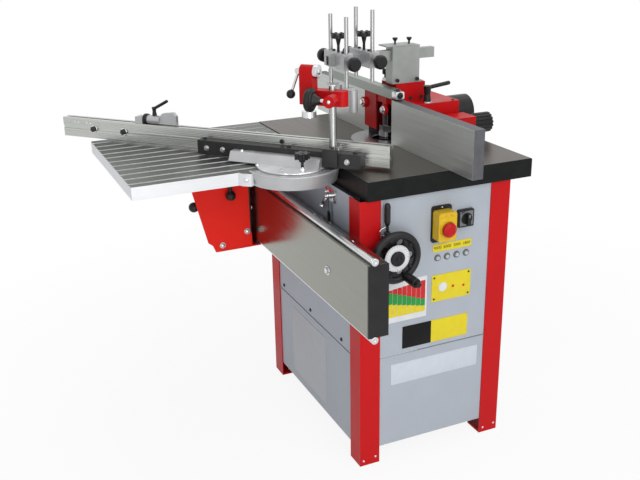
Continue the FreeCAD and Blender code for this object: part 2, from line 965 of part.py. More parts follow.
def spindle_shaft():
    """Arbor with its stepped pulley, clamping rings and nut."""
    at = (s.spindle_x, s.spindle_y, 0)
    points = [(0, pulley_base)]
    for index, diameter in enumerate(drive_dias):
        low = pulley_base + s.step_height * index
        radius = (s.pulley_sum - diameter) / 2
        points += [(radius, low), (radius, low + s.step_height)]
    journal = s.arbor_dia / 2
    arbor_top = s.table_height + s.arbor_rise
    flange_top = flange_base + s.flange_thick
    nut_base = flange_top + s.spacer_height * SPACERS
    nut_top = nut_base + s.nut_height
    points += [
        (journal, pulley_top), (journal, flange_base), (s.flange_dia / 2, flange_base),
        (s.flange_dia / 2, flange_top), (journal, flange_top), (journal, nut_top),
        (s.relief_dia / 2, nut_top),
        (s.relief_dia / 2, nut_top + s.relief_width), (journal, nut_top + s.relief_width),
        (journal, arbor_top), (0, arbor_top),
    ]
    pieces = [turned(points, at)]
    bore = s.arbor_dia + s.run_fit * 2
    for index in range(SPACERS):
        low = flange_top + s.spacer_height * index
        ring = rod(s.spacer_dia, (s.spindle_x, s.spindle_y, low), s.spacer_height)
        pieces.append(cut(ring, rod(bore, (s.spindle_x, s.spindle_y, low), s.spacer_height)))
    nut = hexagon(s.nut_dia, (s.spindle_x, s.spindle_y, nut_base), s.nut_height)
    pieces.append(cut(nut, rod(bore, (s.spindle_x, s.spindle_y, nut_base), s.nut_height)))
    node("spindle_shaft", group(*pieces))


def lift_screw():
    """Vertical screw with a bevel gear at its foot."""
    gear_low = wheel_z - s.bevel_reach
    screw_top = table_under - s.screw_gap
    core = s.screw_dia / 2
    node("lift_screw", turned([
        (0, screw_base), (core, screw_base), (core, gear_low), (s.bevel_dia / 2, gear_low),
        (core, gear_low + s.bevel_dia / 2 - core), (core, screw_top), (0, screw_top),
    ], (s.lift_x, wheel_y, 0)))


def handwheel():
    """Dished wheel with round windows, on a shaft that ends in a bevel gear."""
    gear_back = s.lift_x + s.bevel_reach
    small = s.wheel_shaft / 2
    hub = s.wheel_hub / 2
    boss_start = half_length + s.play
    mid = (s.wheel_dia - s.wheel_rim) / 2
    half_web = s.wheel_web / 2
    deep = wheel_x - s.wheel_dish
    profile = turned([
        (0, gear_back - s.bevel_dia / 2 + small), (small, gear_back - s.bevel_dia / 2 + small),
        (s.bevel_dia / 2, gear_back), (small, gear_back), (small, boss_start), (hub, boss_start),
        (hub, deep - half_web), (mid, wheel_x - half_web), (mid, wheel_x + half_web),
        (hub, deep + half_web),
        (hub, wheel_x + half_web), (0, wheel_x + half_web),
    ], (0, wheel_y, wheel_z), "x")
    rim = hoop(mid * 2, s.wheel_rim, (wheel_x, wheel_y, wheel_z), "x")
    pin = rod(s.grip_pin, (wheel_x, wheel_y + s.grip_out, wheel_z - s.grip_down),
              s.wheel_rim / 2 + s.grip_length, "x")
    windows = []
    for index in range(WINDOWS):
        turn = 2 * pi * index / WINDOWS
        spot = (
            boss_start, wheel_y + s.window_circle / 2 * cos(turn),
            wheel_z + s.window_circle / 2 * sin(turn),
        )
        windows.append(rod(s.window_dia, spot, wheel_x + half_web - boss_start, "x"))
    node("handwheel", fuse(cut(profile, *windows), rim, pin))
    near = s.wheel_rim / 2 + s.play
    bore = s.grip_pin / 2 + s.play
    grip = s.grip_dia / 2
    neck = s.grip_neck / 2
    node("handwheel_grip", turned([
        (bore, near), (neck, near), (grip, near + s.grip_length * GRIP_SHOULDER_SHARE),
        (grip, near + s.grip_length - grip), (neck, near + s.grip_length + neck),
        (0, near + s.grip_length + neck),
        (0, near + s.grip_length), (bore, near + s.grip_length),
    ], (wheel_x, wheel_y + s.grip_out, wheel_z - s.grip_down), "x"))


def lock_lever():
    """Height lock beside the handwheel, with its pin through the panel."""
    hub_start = half_length + s.play
    middle = hub_start + s.lever_hub_length / 2
    hub = rod(s.lever_hub, (hub_start, lever_y, lever_z), s.lever_hub_length, "x")
    pin = rod(s.lever_pin, (panel_x - s.lever_pin_length, lever_y, lever_z),
              hub_start - panel_x + s.lever_pin_length, "x")
    neck = rod(s.lever_neck, (middle, lever_y, lever_z), s.lever_hub / 2 + s.lever_neck_length)
    grip_base = lever_z + s.lever_hub / 2 + s.lever_neck_length
    half = s.lever_grip / 2
    grip = turned([
        (0, 0), (half * GRIP_WAIST_SHARE, 0), (half, half), (half, s.lever_grip_length - half),
        (half * GRIP_WAIST_SHARE, s.lever_grip_length), (0, s.lever_grip_length),
    ], (middle, lever_y, grip_base))
    node("lock_lever", fuse(hub, pin, neck, grip))


def switches():
    """Switch plates, yellow switch box, stop button, selector and the row of lamps."""
    def panel_rect(y, z, wide, tall):
        return [
            (y - wide / 2, z - tall / 2), (y + wide / 2, z - tall / 2), (y + wide / 2, z + tall / 2),
            (y - wide / 2, z + tall / 2),
        ]

    along_x = Vector(1, 0, 0)
    base = plate(
        "YZ_Plane",
        panel_rect(s.switch_y, switch_z, s.switch_width, s.switch_height),
        s.switch_plate, panel_x,
    )
    selector = plate("YZ_Plane", panel_rect(s.selector_y, selector_z, s.selector_plate, s.selector_plate),
                     s.selector_thick, panel_x)
    node("switch_plates", group(round_edges(base, s.switch_round, along_x),
                                round_edges(selector, s.selector_round, along_x)))
    box_start = panel_x + s.switch_plate
    box = plate("YZ_Plane", panel_rect(s.switch_y, switch_z, s.switch_box_width, s.switch_box_height),
                s.switch_box_deep, box_start)
    round_edges(box, s.switch_round, along_x)
    box_front = box_start + s.switch_box_deep
    button_z = switch_z - s.button_drop
    well = rod(
        s.button_stem + s.play * 2,
        (box_front - s.button_depth - s.button_travel, s.switch_y, button_z),
        s.button_depth + s.button_travel + s.overrun, "x",
    )
    node("switch_housing", cut(box, well))
    stem = s.button_stem / 2
    cap = s.button_dia / 2
    cap_start = s.button_depth + s.button_travel + s.play
    node("stop_button", turned([
        (0, s.play), (stem, s.play), (stem, cap_start), (cap, cap_start),
        (cap, cap_start + s.button_thick / 2),
        (stem, cap_start + s.button_thick), (0, cap_start + s.button_thick),
    ], (box_front - s.button_depth, s.switch_y, button_z), "x"))
    knob_start = panel_x + s.selector_thick + s.play
    disc = rod(s.selector_dia, (knob_start, s.selector_y, selector_z), s.selector_disc, "x")
    bar = block((knob_start + s.selector_disc, knob_start + s.selector_disc + s.selector_bar_high),
                (s.selector_y - s.selector_bar / 2, s.selector_y + s.selector_bar / 2),
                (selector_z - s.selector_dia / 2 + s.play, selector_z + s.selector_dia / 2 - s.play))
    node("selector_knob", fuse(disc, bar))
    lamp_z = switch_z - s.lamp_drop
    lamps = []
    for index in range(LAMPS):
        lamps.append(turned([
            (0, 0), (s.lamp_dia / 2, 0), (s.lamp_dia / 2, s.lamp_thick / 2),
            (s.lamp_lens / 2, s.lamp_thick / 2),
            (s.lamp_lens / 2, s.lamp_thick), (0, s.lamp_thick),
        ], (panel_x, s.lamp_first_y + s.lamp_pitch * index, lamp_z), "x"))
    node("speed_lamps", group(*lamps))


def sliding_rail():
    """Box extrusion along the front with a round rod let into its top and bottom."""
    middle = (rail_base + rail_top) / 2
    half_rail = s.rail_length / 2
    sink = s.rod_dia / 2 - s.rod_proud
    span = (-half_rail, half_rail)
    outside = (-half_rail - s.overrun, half_rail + s.overrun)
    deep = (rail_front + s.rail_wall, rail_back - s.rail_wall)
    cells = [block(outside, deep, (rail_base + s.rail_wall + sink, middle - s.rail_wall / 2)),
             block(outside, deep, (middle + s.rail_wall / 2, rail_top - s.rail_wall - sink))]
    rods = []
    for height in (rail_top + s.rod_proud, rail_base - s.rod_proud):
        cells.append(rod(s.rod_dia + s.run_fit * 2, (-half_rail - s.overrun, rod_y, height),
                         s.rail_length + s.overrun * 2, "x"))
        rods.append(rod(s.rod_dia, (-half_rail, rod_y, height), s.rail_length, "x"))
    mounts = []
    for side in (-1, 1):
        x = (half_length - s.post_width / 2) * side
        hole = s.rail_bolt + s.run_fit * 2
        cells.append(
            rod(hole, (x, rail_front - s.overrun, middle), s.rail_depth + s.overrun * 2, "y")
        )
        spacer = block((x - s.spacer_width / 2, x + s.spacer_width / 2), (rail_back, -half_width),
                       (middle - s.spacer_tall / 2, middle + s.spacer_tall / 2))
        mounts.append(cut(spacer, rod(hole, (x, rail_back - s.overrun, middle), s.rail_depth, "y")))
        shank = rod(s.rail_bolt, (x, rail_front, middle), -half_width - rail_front, "y")
        head = hexagon(s.rail_bolt_head, (x, rail_front, middle), s.rail_bolt_high, "-y")
        mounts.append(fuse(shank, head))
    node("slide_rail", cut(block(span, (rail_front, rail_back), (rail_base, rail_top)), *cells))
    node("guide_rods", group(*rods))
    caps = []
    for low in (-half_rail - s.cap_thick, half_rail):
        outline = [
            (rail_front, rail_base), (rail_back, rail_base), (rail_back, rail_top), (rail_front, rail_top),
        ]
        groove = [
            rod(
                s.rod_dia + s.play * 2, (low - s.overrun, rod_y, height), s.cap_thick + s.overrun * 2, "x",
            )
            for height in (rail_top + s.rod_proud, rail_base - s.rod_proud)
        ]
        caps.append(cut(plate("YZ_Plane", outline, s.cap_thick, low), *groove))
    node("rail_end_caps", group(*caps))
    node("rail_mounts", group(*mounts))


def latch():
    """Over-centre latch that holds the upper front panel."""
    face = -panel_y
    latch_z = frame_top - s.latch_drop
    half = s.latch_wide / 2
    plate_block = block((s.latch_x - half, s.latch_x + half), (face - s.latch_plate, face),
                        (latch_z - s.latch_high / 2, latch_z + s.latch_high / 2))
    gap = s.latch_bar_thick + s.play * 2
    pin = rod(s.latch_pin, (s.latch_x, face - s.latch_plate, latch_z), gap, "-y")
    washer = rod(s.latch_grip, (s.latch_x, face - s.latch_plate - gap, latch_z), s.latch_plate / 2, "-y")
    node("latch_bracket", fuse(plate_block, pin, washer))
    back = face - s.latch_plate - s.play
    front = back - s.latch_bar_thick
    eye = rod(s.latch_grip, (s.latch_x, back, latch_z), s.latch_bar_thick, "-y")
    bar = block((s.latch_x - s.latch_bar / 2, s.latch_x + s.latch_bar / 2), (front, back),
                (latch_z - s.latch_length, latch_z))
    grip = block((s.latch_x - s.latch_grip / 2, s.latch_x + s.latch_grip / 2), (front, back),
                 (latch_z - s.latch_length - s.latch_grip_length, latch_z - s.latch_length))
    hole = rod(s.latch_pin + s.run_fit * 2, (s.latch_x, back + s.overrun, latch_z),
               s.latch_bar_thick + s.overrun * 2, "-y")
    node("latch_lever", cut(fuse(eye, bar, grip), hole))


def carriage():
    """Folded red carriage that hangs on the rail's rods, with its glide shoes and lock knobs."""
    left = s.carriage_right - s.carriage_length
    near = rail_front - s.carriage_gap
    top = s.table_height - s.slide_thick
    sheet = s.carriage_sheet
    low = rail_base - s.rod_proud - s.shoe_high - sheet
    hook = rod_y + s.shoe_wide / 2
    outer = near - s.carriage_top_reach
    inner = near - s.carriage_low_reach
    far_outer = near - s.carriage_top_reach * FAR_REACH_SHARE
    far_inner = near - s.carriage_low_reach * FAR_REACH_SHARE
    wide = (left, s.carriage_right)
    near_side = [
        (outer, top),
        (inner - s.carriage_notch, low + s.carriage_notch_rise),
        (inner - s.carriage_step, low + s.carriage_step_rise),
        (inner, low), (near, low), (near, top),
    ]
    far_side = [(far_outer, top), (far_inner, low), (near, low), (near, top)]
    lid = [(left, far_outer), (s.carriage_right, outer), (s.carriage_right, near), (left, near)]
    floor = [(left, far_inner), (s.carriage_right, inner), (s.carriage_right, hook), (left, hook)]
    pieces = [
        plate("YZ_Plane", near_side, sheet, s.carriage_right - sheet),
        plate("YZ_Plane", far_side, sheet, left),
        plate("XY_Plane", lid, sheet, top - sheet),
        plate("XY_Plane", floor, sheet, low),
        block(wide, (near - sheet, near), (low, top)),
    ]
    shoe_top = rail_top + s.rod_proud + s.rod_dia / 2 + s.shoe_high
    pieces.append(block(wide, (near - sheet, hook), (shoe_top, shoe_top + sheet)))
    node("carriage", fuse(*pieces))
    shoes = []
    middle = rail_base - s.rod_proud
    for x in (left, s.carriage_right - s.shoe_length):
        for z0, z1, centre in ((rail_top + s.rod_proud, shoe_top, rail_top + s.rod_proud),
                               (low + sheet, middle, middle)):
            shoe = block((x, x + s.shoe_length), (rod_y - s.shoe_wide / 2, hook), (z0, z1))
            shoes.append(cut(shoe, rod(s.rod_dia + s.shoe_slack * 2, (x - s.overrun, rod_y, centre),
                                       s.shoe_length + s.overrun * 2, "x")))
    node("glide_shoes", group(*shoes))
    face = s.carriage_right + s.play
    upper_y = near - s.upper_ball_out
    upper_z = top - s.upper_ball_drop
    boss = rod(s.ball_stem, (face, upper_y, upper_z), s.ball_dia / 2, "x")
    stem_x = face + s.ball_dia / 2
    hang = upper_z - s.ball_stem_length
    stem = rod(s.ball_stem, (stem_x, upper_y, hang), s.ball_stem_length)
    node("lock_knob_upper", fuse(boss, ball(s.ball_stem, (stem_x, upper_y, upper_z)), stem,
                                 ball(s.ball_dia, (stem_x, upper_y, hang))))
    side_y = near - s.side_ball_out
    side_z = top - s.side_ball_drop
    back = s.carriage_right - sheet - s.play
    side_boss = rod(s.ball_stem, (back, side_y, side_z), s.ball_dia / 2, "-x")
    side_x = back - s.ball_dia / 2
    stem_end = side_y - s.ball_stem_length
    side_stem = rod(s.ball_stem, (side_x, stem_end, side_z), s.ball_stem_length, "y")
    node("lock_knob_side", fuse(side_boss, ball(s.ball_stem, (side_x, side_y, side_z)), side_stem,
                                ball(s.ball_dia, (side_x, stem_end, side_z))))


def sliding_table():
    """Ribbed aluminium table, grooved on top, with the round mitre bracket bolted to its end."""
    left = s.slide_right - s.slide_length
    far = table_front - s.slide_gap
    near = far - s.slide_width
    base = s.table_height - s.slide_thick
    under = s.table_height - s.slide_plate
    tools = []
    cell = (s.slide_length - s.slide_rim * 2 - s.slide_rib * (SLIDE_CELLS - 1)) / SLIDE_CELLS
    for index in range(SLIDE_CELLS):
        start = left + s.slide_rim + (cell + s.slide_rib) * index
        tools.append(
            block(
                (start, start + cell), (near + s.slide_rim, far - s.slide_rim), (base - s.overrun, under),
            ),
        )
    for index in range(GROOVES):
        x = left + s.groove_first + s.groove_pitch * index
        tools.append(block((x, x + s.groove_width), (near - s.overrun, far + s.overrun),
                           (s.table_height - s.groove_deep, s.table_height + s.overrun)))
    node("slide_table", cut(block((left, s.slide_right), (near, far), (base, s.table_height)), *tools))
    lower = (s.base_radius - s.base_draft) * 2
    at = (mitre_x, mitre_y, base)
    disc = taper(lower, s.base_radius * 2, at, s.slide_thick)
    hollow = taper(
        lower - s.base_wall * 2, (s.base_radius - s.base_wall) * 2, at, s.slide_thick - s.slide_plate,
    )
    reach = s.base_radius + s.overrun
    behind = block((mitre_x - reach, s.slide_right), (mitre_y - reach, mitre_y + reach),
                   (base - s.overrun, s.table_height + s.overrun))
    beside = block((s.slide_right, mitre_x + reach), (far, mitre_y + reach),
                   (base - s.overrun, s.table_height + s.overrun))
    node("mitre_base", cut(disc, hollow, behind, beside))


dial_base = s.table_height + s.play
dial_top = dial_base + s.dial_thick
bar_far = s.body_back + s.bar_width
fence_far = bar_far + s.fence_thick
fence_base = s.table_height + s.fence_lift
fence_top = fence_base + s.fence_height
fence_mid = bar_far + s.fence_thick / 2


def mitre_body():
    """Casting that turns on the mitre bracket, and the screw that locks it."""
    disc = rod(s.dial_radius * 2, (0, 0, dial_base), s.dial_thick)
    head = dial_top + s.body_height
    casting = plate("YZ_Plane", [
        (s.body_front, dial_top - s.play), (s.body_back, dial_top - s.play), (s.body_back, head),
        (s.body_front + s.body_slope, head),
    ], s.body_right - s.body_left, s.body_left)
    swing("mitre_body", fuse(disc, casting))
    knob_low = dial_top + s.knob_stem_length
    cap = rod(s.knob_dia, (s.knob_x, s.knob_y, knob_low), s.knob_high)
    notches = []
    for index in range(KNOB_LOBES):
        turn = 2 * pi * index / KNOB_LOBES
        notches.append(
            rod(
                s.knob_notch,
                (s.knob_x + s.knob_dia / 2 * cos(turn), s.knob_y + s.knob_dia / 2 * sin(turn), knob_low),
                s.knob_high,
            ),
        )
    hub = taper(s.knob_stem * 2, s.knob_dia / 2, (s.knob_x, s.knob_y, knob_low - s.knob_stem), s.knob_stem)
    stud = rod(s.knob_stem, (s.knob_x, s.knob_y, dial_top + s.play), s.knob_stem_length)
    swing("mitre_knob", fuse(cut(cap, *notches), hub, stud))


def mitre_fence():
    """Extruded fence with T-slots in its face and top, and the black bar that carries it."""
    mid = fence_base + s.fence_height / 2
    mouth, inner = s.slot_mouth / 2, s.slot_inner / 2
    lip, deep = bar_far + s.slot_lip, bar_far + s.slot_deep
    section = [
        (bar_far, fence_base), (bar_far, mid - mouth), (lip, mid - mouth), (lip, mid - inner),
        (deep, mid - inner),
        (deep, mid + inner), (lip, mid + inner), (lip, mid + mouth), (bar_far, mid + mouth),
        (bar_far, fence_top),
        (fence_mid - mouth, fence_top), (fence_mid - mouth, fence_top - s.slot_lip),
        (fence_mid - inner, fence_top - s.slot_lip), (fence_mid - inner, fence_top - s.slot_deep),
        (fence_mid + inner, fence_top - s.slot_deep), (fence_mid + inner, fence_top - s.slot_lip),
        (fence_mid + mouth, fence_top - s.slot_lip), (fence_mid + mouth, fence_top),
        (fence_far, fence_top), (fence_far, fence_base),
    ]
    swing("mitre_fence", plate("YZ_Plane", section, s.fence_right - s.fence_left, s.fence_left))
    bar_base = dial_top + s.play
    rect = [
        (s.body_back, bar_base), (bar_far, bar_base), (bar_far, bar_base + s.bar_height),
        (s.body_back, bar_base + s.bar_height),
    ]
    bar = plate("YZ_Plane", rect, s.bar_right - s.bar_left, s.bar_left)
    swing("backing_bar", bar)


def flip_stop():
    """Stop that slides on the fence's top, with a plate that flips over and a clamping lever."""
    right = s.stop_left + s.stop_length
    hub_left = right + s.stop_collar_length
    hub_right = hub_left + s.stop_hub_length
    half = s.stop_width / 2
    axis_z = fence_top + s.stop_hub / 2 + s.play
    body = block(
        (s.stop_left, right), (fence_mid - half, fence_mid + half), (fence_top, fence_top + s.stop_height),
    )
    collar = rod(s.stop_collar, (right, fence_mid, axis_z), s.stop_collar_length, "x")
    hub = rod(s.stop_hub, (hub_left, fence_mid, axis_z), s.stop_hub_length, "x")
    pin = rod(s.flap_pin, (hub_right, fence_mid, axis_z), s.flap_length, "x")
    swing("stop_block", fuse(body, collar, hub, pin))
    flap_left = hub_right + s.play
    outline = [
        (flap_left, axis_z - s.flap_low), (flap_left + s.flap_length, axis_z - s.flap_low),
        (flap_left + s.flap_length, axis_z + s.flap_reach - s.flap_round),
        (flap_left + s.flap_length - s.flap_round, axis_z + s.flap_reach),
        (flap_left + s.flap_round, axis_z + s.flap_reach - s.flap_round / 2),
        (flap_left, axis_z + s.flap_low),
    ]
    flap = plate("XZ_Plane", outline, s.flap_thick, -fence_mid - s.flap_thick / 2)
    hole = rod(
        s.flap_pin + s.run_fit * 2, (flap_left - s.overrun, fence_mid, axis_z),
        s.flap_length + s.overrun * 2, "x",
    )
    swing("stop_flap", cut(flap, hole))
    lever_x = hub_left + s.stop_hub_length / 2
    lever_base = axis_z + s.stop_hub / 2 + s.play
    swing("stop_lever", clamp_handle(lever_x, fence_mid, lever_base, s.tee_hub, s.tee_hub_high, s.tee_arm,
                                     s.tee_arm_length, s.tee_rise, 0))


def clamp_handle(x, y, z, hub, high, arm, length, rise, across):
    """Clamping lever: an upright hub with an arm that rises along X, or along Y where across is 1."""
    post = turned([
        (0, 0), (hub / 2, 0), (hub / 2 * HANDLE_NECK_SHARE, high / 2), (hub / 2, high), (0, high),
    ], (x, y, z))
    start = (x, y, z + high - arm / 2)
    end = (x + length * (1 - across), y + length * across, z + high + rise)
    return fuse(post, strut(arm, start, end), ball(arm, end), ball(arm, start))


def eccentric_clamp():
    """Swivelling hold-down on a column: arm, cam lever, pressing pad and lock knob."""
    bar_top = dial_top + s.play + s.bar_height
    bar_mid = s.body_back + s.bar_width / 2
    at = (s.column_x, bar_mid)
    swing("clamp_column", rod(s.column_dia, (*at, bar_top), s.column_height))
    arm_base = bar_top + s.arm_rise
    arm_top = arm_base + s.arm_height
    cam_z = arm_top + s.cam_rise
    pad_base = arm_base - s.pad_gap - s.pad_thick
    disc_z = arm_base + s.disc_rise
    half = s.arm_width / 2
    wide = (bar_mid - half, bar_mid + half)
    tail_x = s.column_x + s.arm_tail
    beam = block((s.head_x, tail_x), wide, (arm_base, arm_top))
    tail = rod(s.arm_width, (tail_x, bar_mid, arm_base), s.arm_height)
    ear = rod(s.ear_dia, (s.ear_x, bar_mid, disc_z), half + s.ear_length, "-y")
    screw_y = wide[0] - s.ear_screw
    head = block((s.head_x - s.head_wide / 2, s.head_x + s.head_wide / 2), wide, (arm_base, cam_z))
    crown = rod(s.arm_width, (s.head_x - s.head_wide / 2, bar_mid, cam_z), s.head_wide, "x")
    fit = s.run_fit * 2
    pad_top = cam_z - s.cam_pin / 2 - s.pad_drop
    cuts = [
        rod(s.column_dia + fit, (*at, arm_base - s.overrun), s.arm_height + s.overrun * 2),
        rod(s.cam_pin + fit, (s.head_x - s.head_wide, bar_mid, cam_z), s.head_wide * 2, "x"),
        rod(
            s.pad_rod + fit,
            (s.head_x, bar_mid, arm_base - s.overrun),
            pad_top - arm_base + s.overrun,
        ),
        rod(s.disc_stem + fit, (s.ear_x, screw_y, disc_z), s.ear_dia, "-x"),
    ]
    swing("clamp_arm", cut(fuse(beam, tail, head, crown, ear), *cuts))
    right = s.head_x + s.head_wide / 2 + s.play
    left = s.head_x - s.head_wide / 2 - s.play
    shaft = rod(s.cam_pin, (left - s.cam_lever, bar_mid, cam_z), right - left + s.cam_lever, "x")
    disc = rod(s.cam_dia, (right, bar_mid, cam_z), s.cam_thick, "x")
    knee = (left - s.cam_lever, bar_mid, cam_z)
    tip = (left - s.cam_lever_out, bar_mid, cam_z - s.cam_lever_drop)
    boss = rod(s.cam_knee, (left - s.cam_lever, bar_mid - s.cam_knee / 2, cam_z), s.cam_knee, "y")
    swing(
        "clamp_lever",
        fuse(shaft, disc, boss, strut(s.cam_lever, knee, tip), lean(ball(s.cam_ball, tip), knee, tip)),
    )
    pad_rod = rod(s.pad_rod, (s.head_x, bar_mid, pad_base), pad_top - s.play - pad_base)
    swing("clamp_pad", fuse(rod(s.pad_dia, (s.head_x, bar_mid, pad_base), s.pad_thick), pad_rod))
    knob_at = (s.ear_x - s.play, screw_y, disc_z)
    swing(
        "clamp_knob",
        disc_knob(s.disc_dia, s.disc_thick, s.disc_stem, s.disc_stem_length, knob_at, "-x"),
    )


def disc_knob(diameter, thick, stem, stem_length, at, axis):
    """Round knob with a bevelled rim on a plain stem."""
    rim = diameter / 2
    face = rim * KNOB_FACE_SHARE
    return turned([
        (0, 0), (stem / 2, 0), (stem / 2, stem_length), (face, stem_length),
        (rim, stem_length + thick * KNOB_BACK_SHARE), (rim, stem_length + thick * KNOB_RIM_SHARE),
        (face, stem_length + thick), (0, stem_length + thick),
    ], at, axis)


hood_x = (s.hood_left, s.hood_right)
plate_far = s.plate_front + s.plate_thick
plate_low = s.table_height + s.play
plate_top = plate_low + s.plate_height
bridge_low = plate_top + s.bridge_gap
hood_front = plate_far + s.outfeed_setback + s.hood_gap
hood_top = plate_top - s.hood_drop
riser_top = hood_top + s.riser_height


def hood():
    """Red sheet hood over the spindle, with its riser, front guard and dust spigot."""
    sheet = s.hood_sheet
    guard_front = s.plate_front + s.guard_in
    guard_base = s.table_height + s.guard_lift
    guard_boss_z = hood_top - s.guard_boss_drop
    outlet_z = (s.table_height + hood_top) / 2
    shell = block(hood_x, (hood_front, s.hood_back), (s.table_height, hood_top))
    riser_x = (s.riser_left, s.riser_right)
    riser_y = (hood_front, s.riser_back)
    riser = block(riser_x, riser_y, (hood_top - sheet, riser_top))
    cross = block((s.cross_left, s.cross_right), (guard_front + s.guard_thick, hood_front + sheet),
                  (hood_top, bridge_low))
    guard = block((s.guard_left, s.guard_right), (guard_front, guard_front + s.guard_thick),
                  (guard_base, bridge_low))
    stub = block((s.stub_left, s.cross_right), (guard_front, guard_front + s.guard_thick),
                 (guard_boss_z - s.guard_boss / 2, bridge_low))
    bosses = [rod(s.guard_boss, (x, guard_front, guard_boss_z), s.guard_boss_high, "-y")
              for x in (s.guard_left + s.guard_boss_inset, s.cross_right - s.guard_boss_inset)]
    inside = block(
        (s.hood_left + sheet, s.hood_right - sheet),
        (hood_front - s.overrun, s.hood_back - sheet),
        (s.table_height - s.overrun, hood_top - sheet),
    )
    riser_inside = block(
        (s.riser_left + sheet, s.riser_right - sheet),
        (hood_front + sheet, s.riser_back - sheet),
        (hood_top - sheet - s.overrun, riser_top - sheet),
    )
    mouth = rod(
        s.outlet_dia - s.outlet_wall * 2,
        (s.spindle_x, s.hood_back - sheet - s.overrun, outlet_z),
        sheet + s.overrun * 2, "y",
    )
    node("hood", cut(fuse(shell, riser, cross, guard, stub, *bosses), inside, riser_inside, mouth))
    outer = s.outlet_dia / 2
    node("dust_outlet", turned([
        (outer - s.outlet_wall, 0), (outer, 0), (outer, s.outlet_length),
        (outer - s.outlet_wall, s.outlet_length),
    ], (s.spindle_x, s.hood_back, outlet_z), "y"))
    node(
        "bridge_bar",
        block(
            (s.bridge_left, s.bridge_right),
            (s.plate_front, s.plate_front + s.bridge_deep),
            (bridge_low, bridge_low + s.bridge_high),
        ),
    )
    node(
        "hood_lever",
        clamp_handle(
            s.hood_lever_x, s.hood_lever_y, hood_top + s.play, s.hood_lever_hub, s.hood_lever_high,
            s.hood_lever_arm, s.hood_lever_length, s.hood_lever_rise, 1,
        ),
    )


def fence_plate(left, length, setback):
    """Thick fence plate that stands on the table."""
    y = (s.plate_front + setback, plate_far + setback)
    return block((left, left + length), y, (plate_low, plate_top))


def fences():
    node("infeed_fence", fence_plate(s.infeed_left, s.infeed_length, 0))
    node(
        "outfeed_fence",
        fence_plate(s.outfeed_right - s.outfeed_length, s.outfeed_length, s.outfeed_setback),
    )
    right = s.bracket_left + s.bracket_width
    near = plate_far + s.play
    base = s.table_height + s.play
    top = base + s.bracket_height
    sheet = s.bracket_sheet
    middle = s.bracket_left + s.bracket_width / 2
    box = block((s.bracket_left, right), (near, s.bracket_back), (base, top))
    inside = block((s.bracket_left + sheet, right - sheet), (near + sheet, s.bracket_back - sheet),
                   (base - s.overrun, top - sheet))
    knob_z = base + s.fence_knob_rise
    hole = rod(s.fence_screw + s.run_fit * 2, (middle, s.bracket_back - sheet - s.overrun, knob_z),
               sheet + s.overrun * 2, "y")
    node("infeed_bracket", cut(box, inside, hole))
    back = s.bracket_back + s.play
    screw = rod(s.fence_screw, (middle, back - s.fence_screw_length, knob_z), s.fence_screw_length, "y")
    grip = rod(s.fence_knob_dia, (middle, back, knob_z), s.fence_knob_length, "y")
    flutes = []
    for index in range(KNOB_FLUTES):
        turn = 2 * pi * index / KNOB_FLUTES
        flutes.append(
            rod(
                s.flute_dia,
                (
                    middle + s.fence_knob_dia / 2 * cos(turn), back,
                    knob_z + s.fence_knob_dia / 2 * sin(turn),
                ),
                s.fence_knob_length, "y",
            ),
        )
    node("fence_knob", fuse(screw, cut(grip, *flutes)))


